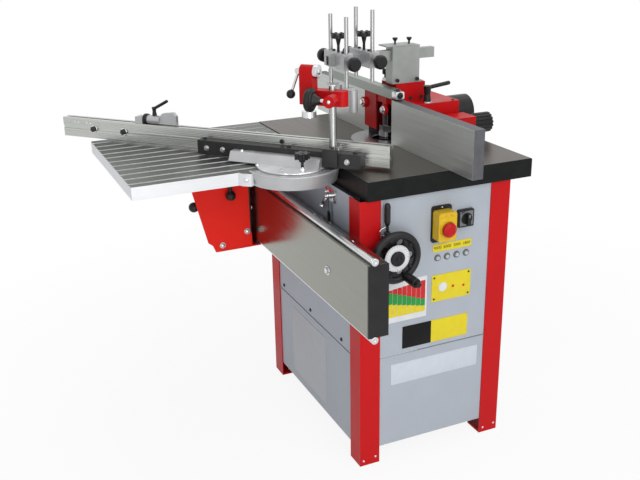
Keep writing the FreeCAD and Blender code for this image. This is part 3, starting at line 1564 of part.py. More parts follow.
def pressers():
    """Post on the hood, sliding beam and the two pairs of hold-down rods."""
    right = s.post_left + s.post_deep
    post_near = s.plate_front + s.bridge_deep + s.play
    post_top = riser_top + s.post_height
    middle_x = s.post_left + s.post_deep / 2
    middle_z = post_top - s.beam_drop
    rod_a_base = middle_z - s.rod_a_drop
    rod_b_base = middle_z - s.rod_b_drop
    wall = s.post_wall
    post = block((s.post_left, right), (post_near, s.post_far), (riser_top, post_top))
    foot = block((s.post_left - s.post_flange, right), (hood_front, s.post_far + s.post_flange),
                 (riser_top, riser_top + wall))
    inside = block((s.post_left + wall, right - wall), (post_near + wall, s.post_far - wall),
                   (riser_top - s.overrun, post_top - wall))
    half_beam = s.beam_wide / 2
    beam_x = (middle_x - half_beam, middle_x + half_beam)
    beam_z = (middle_z - s.beam_high / 2, middle_z + s.beam_high / 2)
    slack = s.play
    window = block(
        (beam_x[0] - slack, beam_x[1] + slack),
        (post_near - s.overrun, s.post_far + s.overrun),
        (beam_z[0] - slack, beam_z[1] + slack),
    )
    node("presser_post", cut(fuse(post, foot), inside, window))
    tube = s.beam_wall
    beam = cut(
        block(beam_x, (s.beam_near, s.beam_far), beam_z),
        block(
            (beam_x[0] + tube, beam_x[1] - tube),
            (s.beam_near - s.overrun, s.beam_far + s.overrun),
            (beam_z[0] + tube, beam_z[1] - tube),
        ),
    )
    node("presser_bar", beam)
    holders, knobs = [], []
    half = s.holder_length / 2
    low = middle_z - s.holder_high / 2
    rod_xs = (middle_x - s.rod_span / 2, middle_x + s.rod_span / 2)
    fit = s.run_fit * 2
    for y in (s.holder_first_y, s.holder_second_y):
        cuts = [
            block(
                (beam_x[0] - s.run_fit, beam_x[1] + s.run_fit),
                (y - s.holder_wide, y + s.holder_wide),
                (beam_z[0] - s.run_fit, beam_z[1] + s.run_fit),
            ),
        ]
        cuts += [
            rod(s.presser_rod + fit, (x, y, low - s.overrun), s.holder_high + s.overrun * 2)
            for x in rod_xs
        ]
        holders.append(
            cut(
                block(
                    (middle_x - half, middle_x + half),
                    (y - s.holder_wide / 2, y + s.holder_wide / 2),
                    (low, low + s.holder_high),
                ),
                *cuts,
            ),
        )
        knobs.append(turned([
            (0, 0), (s.side_stem / 2, 0), (s.side_stem / 2, s.tee_knob_stem * TEE_NECK_SHARE),
            (s.tee_knob / 2 * TEE_HUB_SHARE, s.tee_knob_stem), (s.tee_knob / 2, s.tee_knob_stem),
            (s.tee_knob / 2, s.tee_knob_stem + s.tee_knob_high * KNOB_RIM_SHARE),
            (s.tee_knob / 2 * KNOB_FACE_SHARE, s.tee_knob_stem + s.tee_knob_high),
            (0, s.tee_knob_stem + s.tee_knob_high),
        ], (middle_x, y, low + s.holder_high)))
        knobs.append(disc_knob(s.side_knob, s.side_knob_thick, s.side_stem, s.side_stem_length,
                               (middle_x + half, y, middle_z), "x"))
        knobs.append(disc_knob(s.side_knob, s.side_knob_thick, s.side_stem, s.side_stem_length,
                               (middle_x - half, y, middle_z), "-x"))
    node("presser_holders", group(*holders))
    node("presser_knobs", group(*knobs))
    node(
        "presser_rods_a",
        group(
            *[
                rod(s.presser_rod, (x, s.holder_first_y, rod_a_base), s.rod_a_length)
                for x in rod_xs
            ],
        ),
    )
    node(
        "presser_rods_b",
        group(
            *[
                rod(s.presser_rod, (x, s.holder_second_y, rod_b_base), s.rod_b_length)
                for x in rod_xs
            ],
        ),
    )
    pads = []
    pad_y = s.holder_first_y + s.pad_offset
    for x in rod_xs:
        pad = rod(s.presser_pad, (x, pad_y, rod_a_base - s.pad_high), s.pad_high)
        link = block((x - s.pad_link / 2, x + s.pad_link / 2), (s.holder_first_y - s.pad_link / 2, pad_y),
                     (rod_a_base, rod_a_base + s.pad_link_thick))
        socket = rod(s.presser_rod + fit, (x, s.holder_first_y, rod_a_base), s.pad_link_thick + s.overrun)
        pads.append(fuse(pad, cut(link, socket)))
    node("presser_pads", group(*pads))


cabinet()
main_table()
spindle_lift_frame()
spindle_housing()
spindle_shaft()
belt_drive()
lift_screw()
handwheel()
lock_lever()
switches()
sliding_rail()
latch()
carriage()
sliding_table()
mitre_body()
mitre_fence()
flip_stop()
eccentric_clamp()
hood()
fences()
pressers()
doc.recompute()

for thing in doc.Objects:
    if "Invalid" in thing.State or "Error" in thing.State:
        raise RuntimeError(f"{thing.Label} failed: {thing.State}")
for thing in nodes:
    if thing.Shape.isNull() or not thing.Shape.isValid():
        raise RuntimeError(f"{thing.Label} has no valid shape")

os.makedirs("parts", exist_ok=True)
for thing in nodes:
    thing.Shape.exportStep(f"parts/{thing.Label}.step")
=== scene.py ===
import json
import math

import bmesh
import bpy
from mathutils import Matrix, Vector


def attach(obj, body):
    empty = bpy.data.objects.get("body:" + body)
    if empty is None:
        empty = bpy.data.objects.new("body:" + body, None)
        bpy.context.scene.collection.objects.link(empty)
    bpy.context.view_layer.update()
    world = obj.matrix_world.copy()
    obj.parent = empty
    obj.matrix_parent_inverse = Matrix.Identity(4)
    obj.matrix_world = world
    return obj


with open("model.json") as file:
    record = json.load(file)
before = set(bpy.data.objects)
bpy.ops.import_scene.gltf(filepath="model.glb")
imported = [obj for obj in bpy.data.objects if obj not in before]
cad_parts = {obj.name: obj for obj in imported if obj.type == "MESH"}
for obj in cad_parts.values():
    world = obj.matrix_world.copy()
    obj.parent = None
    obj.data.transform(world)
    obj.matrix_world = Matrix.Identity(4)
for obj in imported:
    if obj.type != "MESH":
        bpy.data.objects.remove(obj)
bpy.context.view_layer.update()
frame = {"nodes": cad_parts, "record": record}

# Lengths of pieces and the camera's place are in millimetres. Finishes, floor and lights are in metres.
MM = 0.001
X = Vector((1, 0, 0))
Y = Vector((0, 1, 0))
Z = Vector((0, 0, 1))

# Faces that details sit on
PANEL_X = 324
PANEL_Y = -230
REAR_Y = 230
SIDE_X = -324
TABLE_Z = 850

# How far heads, and flat things such as washers and tags, sink into what they sit on
HEAD_SINK = 0.4
FLAT_SINK = 0.2

# Own axes of the mitre fence: its pivot, and its length and face directions
MITRE_ANGLE = math.radians(41.5)
MITRE_PIVOT = Vector((93, -318, 0))
ALONG = Vector((math.cos(MITRE_ANGLE), math.sin(MITRE_ANGLE), 0))
ACROSS = Vector((-math.sin(MITRE_ANGLE), math.cos(MITRE_ANGLE), 0))

# In those axes: the clamp's column, and the axis of the clamp's knob
COLUMN_X = 112
COLUMN_Y = 18
CLAMP_KNOB_Y = -28
CLAMP_KNOB_Z = 1040


def mitre(x, y, z):
    """Point given in the mitre fence's own axes."""
    return MITRE_PIVOT + ALONG * x + ACROSS * y + Z * z


# Materials

NOISE_LOW = 0.3
NOISE_HIGH = 0.7
BROAD_DETAIL = 5.0
FINE_DETAIL = 3.0
LEAST_ROUGH = 0.02
EDGE_RADIUS = 0.0012
BUMP_DEPTH = 0.0004


def new_node(tree, kind, **values):
    """Shader node; each value is a setting of the node or else one of its inputs."""
    made = tree.nodes.new("ShaderNode" + kind)
    for key, value in values.items():
        if hasattr(made, key):
            setattr(made, key, value)
        else:
            made.inputs[key.replace("_", " ").title()].default_value = value
    return made


def grain_noise(tree, coords, look, scale, detail):
    """Noise in the piece's own metres, drawn out along the direction of its brushing."""
    mapping = new_node(tree, "Mapping", vector_type="TEXTURE")
    mapping.inputs["Scale"].default_value = [1 / share for share in look["stretch"]]
    mapping.inputs["Rotation"].default_value = (0, 0, look["turn"])
    tree.links.new(coords.outputs["Object"], mapping.inputs["Vector"])
    noise = new_node(tree, "TexNoise", scale=scale, detail=detail)
    tree.links.new(mapping.outputs["Vector"], noise.inputs["Vector"])
    return noise.outputs["Fac"]


def spread(tree, factor, low, high):
    """Number between low and high as the noise goes over its usual reach."""
    made = new_node(tree, "MapRange")
    made.inputs["From Min"].default_value = NOISE_LOW
    made.inputs["From Max"].default_value = NOISE_HIGH
    made.inputs["To Min"].default_value = low
    made.inputs["To Max"].default_value = high
    tree.links.new(factor, made.inputs["Value"])
    return made.outputs["Result"]


def colour_ramp(tree, factor, low, high):
    """Colour between low and high as the noise goes over its usual reach."""
    made = new_node(tree, "ValToRGB")
    ends = made.color_ramp.elements
    ends[0].position = NOISE_LOW
    ends[1].position = NOISE_HIGH
    ends[0].color = (*low, 1)
    ends[1].color = (*high, 1)
    tree.links.new(factor, made.inputs["Fac"])
    return made.outputs["Color"]


def blend_colour(tree, factor, first, second):
    made = new_node(tree, "Mix", data_type="RGBA")
    tree.links.new(factor, made.inputs[0])
    tree.links.new(first, made.inputs[6])
    tree.links.new(second, made.inputs[7])
    return made.outputs[2]


def blend_number(tree, factor, first, second):
    made = new_node(tree, "Mix", data_type="FLOAT")
    tree.links.new(factor, made.inputs[0])
    tree.links.new(first, made.inputs[2])
    tree.links.new(second, made.inputs[3])
    return made.outputs[0]


def number(tree, first, operation, second):
    """Math node on a socket and a number or another socket."""
    made = new_node(tree, "Math", operation=operation)
    tree.links.new(first, made.inputs[0])
    if isinstance(second, (int, float)):
        made.inputs[1].default_value = second
    else:
        tree.links.new(second, made.inputs[1])
    return made.outputs[0]


def coat_of(tree, coords, look):
    """Colour and roughness sockets of one finish."""
    broad = grain_noise(tree, coords, look, look["grain"], BROAD_DETAIL)
    shade = look["tint"]
    darker = [c * (1 - shade) for c in look["colour"]]
    lighter = [min(1, c * (1 + shade)) for c in look["colour"]]
    smoother = max(LEAST_ROUGH, look["rough"] - look["wear"])
    rougher = min(1, look["rough"] + look["wear"])
    return colour_ramp(tree, broad, darker, lighter), spread(tree, broad, smoother, rougher)


# Values of a finish that doesn't give its own; "edge" is how much lighter the edges turn, partly for wear
# and partly as a painted highlight
PLAIN = {
    "colour": (0.5, 0.5, 0.5), "rough": 0.45, "metal": 0.0, "specular": 0.3,
    "tint": 0.06, "grain": 9.0, "stretch": (1, 1, 1), "turn": 0.0, "wear": 0.06,
    "bump": 0.05, "bump_grain": 900.0, "edge": 0.0,
}


def finish(name, second=None, mask=None, **look):
    """Material from one finish, or from two that a mask divides."""
    look = {**PLAIN, **look}
    made = bpy.data.materials.new(name)
    made.use_nodes = True
    tree = made.node_tree
    shader = tree.nodes["Principled BSDF"]
    coords = new_node(tree, "TexCoord")
    colour, rough = coat_of(tree, coords, look)
    shader.inputs["Metallic"].default_value = look["metal"]
    shader.inputs["Specular IOR Level"].default_value = look["specular"]
    if second:
        second = {**PLAIN, **second}
        where = mask(tree, coords)
        other_colour, other_rough = coat_of(tree, coords, second)
        colour = blend_colour(tree, where, colour, other_colour)
        rough = blend_number(tree, where, rough, other_rough)
        if second["metal"] != look["metal"]:
            metal = new_node(tree, "MapRange")
            metal.inputs["To Min"].default_value = look["metal"]
            metal.inputs["To Max"].default_value = second["metal"]
            tree.links.new(where, metal.inputs["Value"])
            tree.links.new(metal.outputs["Result"], shader.inputs["Metallic"])
    bevel = new_node(tree, "Bevel", samples=4)
    bevel.inputs["Radius"].default_value = EDGE_RADIUS
    # Edges made lighter, partly for wear and partly as a painted highlight
    if look["edge"]:
        colour = worn_edges(tree, bevel, colour, look["edge"])
    fine = grain_noise(tree, coords, look, look["bump_grain"], FINE_DETAIL)
    bump = new_node(tree, "Bump")
    bump.inputs["Strength"].default_value = look["bump"]
    bump.inputs["Distance"].default_value = BUMP_DEPTH
    tree.links.new(fine, bump.inputs["Height"])
    tree.links.new(bevel.outputs["Normal"], bump.inputs["Normal"])
    tree.links.new(bump.outputs["Normal"], shader.inputs["Normal"])
    tree.links.new(colour, shader.inputs["Base Color"])
    tree.links.new(rough, shader.inputs["Roughness"])
    return made


def worn_edges(tree, bevel, colour, amount):
    """Lighter colour where an edge turns: partly wear, partly a painted highlight along the edge."""
    flat, turned = 0.99, 0.8
    lighter, greyer = 1.6, 0.85
    geometry = new_node(tree, "NewGeometry")
    turn = new_node(tree, "VectorMath", operation="DOT_PRODUCT")
    tree.links.new(bevel.outputs["Normal"], turn.inputs[0])
    tree.links.new(geometry.outputs["Normal"], turn.inputs[1])
    edge_wear_and_highlight = new_node(tree, "MapRange")
    edge_wear_and_highlight.inputs["From Min"].default_value = flat
    edge_wear_and_highlight.inputs["From Max"].default_value = turned
    edge_wear_and_highlight.inputs["To Max"].default_value = amount
    tree.links.new(turn.outputs["Value"], edge_wear_and_highlight.inputs["Value"])
    light = new_node(tree, "HueSaturation")
    light.inputs["Value"].default_value = lighter
    light.inputs["Saturation"].default_value = greyer
    tree.links.new(colour, light.inputs["Color"])
    return blend_colour(tree, edge_wear_and_highlight.outputs["Result"], colour, light.outputs["Color"])


def facing(axis, least=0.9):
    """Mask of the faces that look along an axis of the piece."""
    def mask(tree, coords):
        split = new_node(tree, "SeparateXYZ")
        tree.links.new(coords.outputs["Normal"], split.inputs["Vector"])
        return number(tree, split.outputs[axis], "GREATER_THAN", least)
    return mask


def aside(axis, most=0.5):
    """Mask of the faces that look away from an axis of the piece."""
    def mask(tree, coords):
        split = new_node(tree, "SeparateXYZ")
        tree.links.new(coords.outputs["Normal"], split.inputs["Vector"])
        lean = new_node(tree, "Math", operation="ABSOLUTE")
        tree.links.new(split.outputs[axis], lean.inputs[0])
        return number(tree, lean.outputs[0], "LESS_THAN", most)
    return mask


def near(point, radius):
    """Mask of what lies within a radius of a point, both in millimetres."""
    def mask(tree, coords):
        apart = new_node(tree, "VectorMath", operation="DISTANCE")
        apart.inputs[1].default_value = point * MM
        tree.links.new(coords.outputs["Object"], apart.inputs[0])
        return number(tree, apart.outputs["Value"], "LESS_THAN", radius * MM)
    return mask


BRUSHED_X = (1, 60, 60)
BRUSHED_Y = (60, 1, 60)
BRUSHED_Z = (60, 60, 1)
STREAKS = 25.0
RED = {"colour": (0.56, 0.008, 0.01), "rough": 0.36, "tint": 0.04, "bump": 0.04, "edge": 0.3,
       "specular": 0.13}
BLACK = {"colour": (0.011, 0.011, 0.012), "rough": 0.38, "tint": 0.2, "grain": 30.0, "bump": 0.12,
         "wear": 0.08}
CHROME = {"colour": (0.66, 0.67, 0.68), "rough": 0.16, "metal": 1.0, "tint": 0.06, "bump": 0.02,
          "wear": 0.05}
DRAWN = {**CHROME, "colour": (0.38, 0.39, 0.38), "rough": 0.24, "stretch": BRUSHED_Z, "grain": 14.0,
         "tint": 0.04, "bump_grain": STREAKS}
CAST = {"colour": (0.5, 0.505, 0.515), "rough": 0.46, "metal": 0.7, "tint": 0.07, "grain": 24.0,
        "bump": 0.15, "bump_grain": 500.0, "wear": 0.08, "edge": 0.3}
PLATE = {"colour": (0.52, 0.54, 0.52), "rough": 0.42, "metal": 0.9, "tint": 0.1, "grain": 6.0,
         "stretch": BRUSHED_X, "bump": 0.1, "bump_grain": 60.0}
SAWN = {"colour": (0.115, 0.118, 0.13), "rough": 0.5, "metal": 0.5, "tint": 0.12, "grain": 40.0}
TABLE_TOP = {"colour": (0.105, 0.09, 0.078), "rough": 0.34, "metal": 0.9, "tint": 0.16, "grain": 4.0,
             "stretch": BRUSHED_X}
SLIDE_TOP = {"colour": (0.12, 0.128, 0.112), "rough": 0.36, "metal": 0.9, "tint": 0.12, "grain": 6.0,
             "stretch": BRUSHED_Y}
PRINT = {"rough": 0.45, "tint": 0.03, "grain": 50.0, "bump": 0.02}
MATT_PRINT = {**PRINT, "rough": 0.5}
CAM_TIP = mitre(-9.3, COLUMN_Y, 1042)
CAM_BALL_REACH = 15
CLAMP_STEM = mitre(103, CLAMP_KNOB_Y, CLAMP_KNOB_Z)
CLAMP_STEM_REACH = 23.2

FINISHES = {
    "red": finish("red_paint", **RED),
    # The red paint made brighter for the carriage: painted light standing in for the light that falls on
    # it
    "lit_red": finish("lit_red_paint", **{**RED, "colour": (0.95, 0.026, 0.016)}),
    "grey": finish("grey_panel_paint", colour=(0.42, 0.455, 0.505), rough=0.42, tint=0.035, edge=0.3),
    "black": finish("black_moulded_plastic", **BLACK),
    "black_satin": finish("black_satin_paint", colour=(0.028, 0.029, 0.028), rough=0.4, tint=0.15,
                          grain=40.0, edge=0.4),
    "oxide": finish("black_oxide_steel", colour=(0.2, 0.2, 0.21), rough=0.13, metal=1.0, tint=0.1,
                    grain=40.0, wear=0.03),
    "chrome": finish("polished_steel", **CHROME),
    "rod": finish("drawn_steel_rod", **DRAWN),
    "steel": finish("turned_steel", colour=(0.5, 0.51, 0.52), rough=0.3, metal=1.0, grain=12.0,
                    stretch=BRUSHED_X, tint=0.12, bump_grain=STREAKS),
    "iron": finish("cast_iron", colour=(0.13, 0.13, 0.135), rough=0.6, metal=0.5, grain=60.0, bump=0.4,
                   bump_grain=300.0),
    "table": finish("table_iron", colour=(0.009, 0.0105, 0.0095), rough=0.42, specular=0.12, tint=0.2,
                    grain=40.0, edge=0.25, second=TABLE_TOP, mask=facing("Z")),
    "motor": finish("motor_paint", colour=(0.06, 0.07, 0.08), rough=0.4, tint=0.1),
    "cast": finish("cast_aluminium", **CAST),
    "rail": finish("rail_aluminium", colour=(0.27, 0.272, 0.24), rough=0.2, metal=1.0, grain=5.0,
                   tint=0.05, stretch=BRUSHED_X, wear=0.05, edge=0.5, bump_grain=STREAKS),
    "slide": finish("slide_aluminium", colour=(0.8, 0.815, 0.83), rough=0.4, metal=0.3, tint=0.04,
                    grain=6.0, stretch=BRUSHED_Y, edge=0.3, bump_grain=STREAKS, second=SLIDE_TOP,
                    mask=facing("Z")),
    "fence": finish("fence_aluminium", colour=(0.52, 0.535, 0.51), rough=0.3, metal=1.0, tint=0.05,
                    grain=5.0, stretch=BRUSHED_X, turn=MITRE_ANGLE, wear=0.05, edge=0.3,
                    bump_grain=STREAKS),
    "bridge": finish("bridge_aluminium", colour=(0.24, 0.262, 0.24), rough=0.34, metal=0.9, tint=0.08,
                     grain=6.0, stretch=BRUSHED_X, bump_grain=STREAKS, edge=0.4),
    "dial": finish("polished_aluminium", colour=(0.84, 0.845, 0.86), rough=0.32, metal=0.6, tint=0.05,
                   grain=20.0),
    "plate": finish("plate_aluminium", second=SAWN, mask=aside("Y"), **PLATE),
    "post": finish("post_aluminium", colour=(0.33, 0.35, 0.335), rough=0.42, metal=0.75, tint=0.07,
                   grain=30.0, bump=0.12, edge=0.35),
    "yellow": finish("yellow_plastic", colour=(0.74, 0.47, 0.016), rough=0.34, tint=0.04, bump=0.03),
    "red_plastic": finish("red_plastic", colour=(0.52, 0.011, 0.015), rough=0.35, specular=0.15,
                          tint=0.05, bump=0.03),
    "lens": finish("lamp_lens", colour=(0.46, 0.49, 0.5), rough=0.15, tint=0.05),
    "ring": finish("dark_chrome", **{**CHROME, "colour": (0.2, 0.21, 0.22), "rough": 0.24}),
    "rubber": finish("belt_rubber", colour=(0.016, 0.016, 0.016), rough=0.7, tint=0.15, bump=0.2),
    "clamp_lever": finish("clamp_lever_steel", second=BLACK, mask=near(CAM_TIP, CAM_BALL_REACH),
                          **CHROME),
    "clamp_knob": finish("clamp_knob_plastic", second=CHROME, mask=near(CLAMP_STEM, CLAMP_STEM_REACH),
                         **BLACK),
    "white": finish("white_print", colour=(0.74, 0.75, 0.76), **MATT_PRINT),
    "pale": finish("pale_print", colour=(0.6, 0.64, 0.7), **MATT_PRINT),
    "bare": finish("bare_plate", colour=(0.5, 0.52, 0.545), **{**PRINT, "rough": 0.46}),
    "print_yellow": finish("yellow_print", colour=(0.76, 0.62, 0.02), **PRINT),
    "print_red": finish("red_print", colour=(0.6, 0.018, 0.02), **PRINT),
    "print_green": finish("green_print", colour=(0.02, 0.3, 0.05), **PRINT),
    "dark": finish("dark_print", colour=(0.008, 0.008, 0.009), specular=0.12,
                   **{**MATT_PRINT, "tint": 0.1}),
}

# Record slot that each finish belongs to; a slot's first finish dresses its CAD nodes
SLOTS = {
    "red": "red_paint", "grey": "grey_paint", "black": "black_plastic", "black_satin": "black_paint",
    "chrome": "bright_steel", "steel": "machined_steel", "iron": "cast_iron", "table": "table_iron",
    "motor": "dark_paint", "cast": "cast_aluminium", "rail": "rail_aluminium",
    "slide": "slide_aluminium", "fence": "fence_aluminium", "plate": "plate_aluminium",
    "yellow": "yellow_plastic", "red_plastic": "red_plastic", "lens": "lamp_lens",
    "rubber": "belt_rubber", "clamp_lever": "bright_steel", "white": "grey_paint", "pale": "grey_paint",
    "print_yellow": "yellow_plastic", "print_red": "red_plastic", "print_green": "grey_paint",
    "dark": "black_plastic", "lit_red": "red_paint", "oxide": "machined_steel",
    "rod": "bright_steel", "post": "plate_aluminium", "clamp_knob": "black_plastic",
    "bare": "grey_paint", "ring": "bright_steel", "bridge": "fence_aluminium", "dial": "cast_aluminium",
}

# CAD nodes with a finish other than the first of their slot
NODE_FINISH = {
    "clamp_lever": "clamp_lever", "clamp_knob": "clamp_knob", "carriage": "lit_red",
    "spindle_shaft": "oxide", "presser_rods_a": "rod", "presser_rods_b": "rod", "clamp_column": "rod",
    "presser_post": "post", "presser_bar": "post", "stop_block": "cast", "stop_flap": "cast",
    "bridge_bar": "bridge",
}


def dress_nodes():
    """Give each CAD node its finish."""
    by_slot = {slot: key for key, slot in reversed(SLOTS.items())}
    for part in frame["record"]["subparts"]:
        obj = frame["nodes"][part["node"]]
        key = NODE_FINISH.get(part["node"], by_slot[part["material_slot"]])
        obj.data.materials.clear()
        obj.data.materials.append(FINISHES[key])


# Shapes

def piece(name, bm, body, look, sharp=35):
    """Mesh object of a shape in millimetres, on a body."""
    bmesh.ops.recalc_face_normals(bm, faces=bm.faces)
    bmesh.ops.scale(bm, vec=(MM, MM, MM), verts=bm.verts)
    mesh = bpy.data.meshes.new(name)
    bm.to_mesh(mesh)
    bm.free()
    for face in mesh.polygons:
        face.use_smooth = True
    mesh.set_sharp_from_angle(angle=math.radians(sharp))
    place(name, mesh, body, look)


def place(name, data, body, look):
    """Object of a mesh or curve, with its finish, on a body."""
    obj = bpy.data.objects.new(name, data)
    bpy.context.scene.collection.objects.link(obj)
    data.materials.append(FINISHES[look])
    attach(obj, body)


def add_lathe(bm, at, axis, profile, steps=32, closed=False):
    """Turned form; the profile is (radius, height) pairs along the axis from a point."""
    turn = Z.rotation_difference(Vector(axis)).to_matrix()
    rings = []
    for radius, height in profile:
        if radius == 0:
            rings.append([bm.verts.new(at + turn @ Vector((0, 0, height)))])
            continue
        ring = []
        for step in range(steps):
            angle = 2 * math.pi * step / steps
            spot = Vector((radius * math.cos(angle), radius * math.sin(angle), height))
            ring.append(bm.verts.new(at + turn @ spot))
        rings.append(ring)
    pairs = list(zip(rings, rings[1:]))
    if closed:
        pairs.append((rings[-1], rings[0]))
    for first, second in pairs:
        for step in range(steps):
            after = (step + 1) % steps
            corners = [first[step % len(first)], first[after % len(first)],
                       second[after % len(second)], second[step % len(second)]]
            unique = list(dict.fromkeys(corners))
            if len(unique) > 2:
                bm.faces.new(unique)


def lathe(name, body, look, spots, axis, profile, steps=32, closed=False):
    """One piece of like turned forms at several points."""
    bm = bmesh.new()
    for at in spots:
        add_lathe(bm, Vector(at), axis, profile, steps, closed)
    piece(name, bm, body, look)


def add_prism(bm, outline, origin, u, v, depth, bevel=0.0):
    """Outline in the plane of u and v, pushed along their normal, with its front edges softened."""
    out = u.cross(v)
    low = [bm.verts.new(origin + u * a + v * b) for a, b in outline]
    high = [bm.verts.new(origin + u * a + v * b + out * depth) for a, b in outline]
    bm.faces.new(low[::-1])
    front = bm.faces.new(high)
    for i in range(len(low)):
        j = (i + 1) % len(low)
        bm.faces.new((low[i], low[j], high[j], high[i]))
    if bevel:
        bmesh.ops.bevel(bm, geom=list(front.edges), offset=bevel, segments=2, affect="EDGES", profile=0.6)


def prism(name, body, look, outline, origin, u, v, depth, bevel=0.0):
    """Piece of one prism."""
    bm = bmesh.new()
    add_prism(bm, outline, Vector(origin), u, v, depth, bevel)
    piece(name, bm, body, look)


def rounded(left, right, low, high, radius):
    """Outline of a rectangle with round corners."""
    steps = 5
    points = []
    for cx, cy, first in ((right - radius, high - radius, 0), (left + radius, high - radius, 90),
                          (left + radius, low + radius, 180), (right - radius, low + radius, 270)):
        for step in range(steps + 1):
            angle = math.radians(first + 90 * step / steps)
            points.append((cx + radius * math.cos(angle), cy + radius * math.sin(angle)))
    return points


def ring_points(count, radius, centre=(0, 0), first=0.0):
    """Points spaced evenly on a circle; first is the share of a step that they start at."""
    points = []
    for index in range(count):
        angle = 2 * math.pi * (index + first) / count
        points.append((centre[0] + radius * math.cos(angle), centre[1] + radius * math.sin(angle)))
    return points


def mark(near_end, far_end, width):
    """Outline of a straight scale mark."""
    half = width / 2
    return [(near_end, -half), (far_end, -half), (far_end, half), (near_end, half)]


def wire(name, body, look, points, radius):
    """Bent round wire through points."""
    curve = bpy.data.curves.new(name, "CURVE")
    curve.dimensions = "3D"
    curve.bevel_depth = radius * MM
    curve.bevel_resolution = 4
    curve.use_fill_caps = True
    spline = curve.splines.new("NURBS")
    spline.points.add(len(points) - 1)
    for spot, point in zip(spline.points, points):
        spot.co = (*(Vector(point) * MM), 1)
    spline.order_u = 3
    spline.use_endpoint_u = True
    place(name, curve, body, look)


def dome(radius, high):
    """Profile of a low dome head."""
    steps = 6
    points = [(0, -HEAD_SINK), (radius, -HEAD_SINK)]
    for step in range(steps + 1):
        angle = math.pi / 2 * step / steps
        points.append((radius * math.cos(angle) if step < steps else 0, high * math.sin(angle)))
    return points


def socket_head(radius, high):
    """Profile of a cylinder head with a socket in its top."""
    soft = radius * 0.12
    return [(0, -HEAD_SINK), (radius, -HEAD_SINK), (radius, high - soft), (radius - soft, high),
            (radius * 0.55, high), (radius * 0.5, high * 0.4), (0, high * 0.4)]


def button_head(radius, high):
    """Profile of a button head with a socket."""
    return [(0, -HEAD_SINK), (radius, -HEAD_SINK), (radius * 0.97, high * 0.35),
            (radius * 0.8, high * 0.8), (radius * 0.5, high), (radius * 0.45, high * 0.45),
            (0, high * 0.45)]


def washer(inner, outer, high, drop, soft):
    """Closed profile of a washer or nut whose outer edge is softened by drop and soft."""
    return [(inner, -FLAT_SINK), (outer, -FLAT_SINK), (outer, high - drop), (outer - soft, high),
            (inner, high)]


def hex_bolts(name, body, look, spots, axis, radius, high, seat=0.0):
    """Hexagon heads with a turned chamfer, each on a washer if a seat's radius is given."""
    seat_high, seat_soft = 1.6, 0.4
    turn = Z.rotation_difference(Vector(axis)).to_matrix()
    u, v = turn @ X, turn @ Y
    out = u.cross(v)
    bm = bmesh.new()
    for at in spots:
        foot = Vector(at)
        if seat:
            add_lathe(bm, foot, axis, [(0, -HEAD_SINK), (seat, -HEAD_SINK), (seat, seat_high - seat_soft),
                                       (seat - seat_soft, seat_high), (0, seat_high)])
            foot = foot + out * seat_high
        add_prism(bm, ring_points(6, radius), foot - out * FLAT_SINK, u, v, high * 0.85 + FLAT_SINK)
        add_lathe(bm, foot, axis, [(0, high * 0.8), (radius * 0.93, high * 0.8), (radius * 0.75, high),
                                   (0, high)], 24)
    piece(name, bm, body, look, 25)


# Details

def control_panel():
    """Plain plates and chart, speed numbers, lamp rings, and the trim of the switch and selector."""
    def tag(name, look, left, right, low, high, depth=0.8):
        outline = rounded(left, right, low, high, 2.0)
        prism(name, "machine", look, outline, (PANEL_X - FLAT_SINK, 0, 0), Y, Z, depth + FLAT_SINK, 0.3)

    speeds = (9000, 6000, 3000, 1800)
    speed_z, strip_depth = 632, 0.8
    lamp_first, lamp_pitch, lamp_z = 6, 30.6, 603
    lamp_row = [lamp_first + lamp_pitch * index for index in range(len(speeds))]
    tag("speed_strip", "print_yellow", -9, 114, 621, 643, strip_depth)
    for index, speed in enumerate(speeds):
        at = (PANEL_X + strip_depth, lamp_row[index], speed_z)
        numeral(f"speed_number_{index + 1}", str(speed), at, 12)
    service_plate(tag)
    tag("chart_sheet", "white", -152, -25, 435, 557)
    chart_bars()
    tag("dark_label", "dark", -100, -8, 348, 416)
    tag("yellow_label", "print_yellow", -8, 112, 348, 416)
    tag("pale_plate", "pale", -135, 151, 240, 305)
    lathe("lamp_rings", "machine", "ring", [(PANEL_X, y, lamp_z) for y in lamp_row], X,
          [(5.7, 2.4), (8.4, 2.4), (9.6, 0.6), (9.6, 0.1), (10, 0), (9.9, 1.4), (8.6, 3.6), (6.4, 4.0),
           (5.7, 3.4)], closed=True)
    switch_lid()
    selector_frame()


def service_plate(tag):
    """Yellow plate with corner screws, a white disc and two red lamps."""
    depth, inset = 1.2, 8
    left, right, low, high = -10, 117, 472, 552
    front = PANEL_X + depth
    tag("service_plate", "print_yellow", left, right, low, high, depth)
    corners = [(front, y, z) for z in (low + inset, high - inset) for y in (left + inset, right - inset)]
    lathe("service_plate_screws", "machine", "black_satin", corners, X, button_head(3.2, 1.8))
    lathe("service_disc", "machine", "white", [(front, 26, 513)], X, dome(14, 3))
    lathe("service_lamps", "machine", "print_red", [(front, 59, 510), (front, 94, 506)], X, dome(4, 2.5))


def numeral(name, text, at, height):
    """Plain number on the control panel."""
    curve = bpy.data.curves.new(name, "FONT")
    curve.body = text
    curve.size = height * MM
    curve.extrude = 0.15 * MM
    curve.align_x = "CENTER"
    curve.align_y = "CENTER"
    obj = bpy.data.objects.new(name, curve)
    bpy.context.scene.collection.objects.link(obj)
    curve.materials.append(FINISHES["dark"])
    obj.matrix_world = Matrix.Translation(Vector(at) * MM) @ Matrix((Y, Z, X)).transposed().to_4x4()
    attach(obj, "machine")


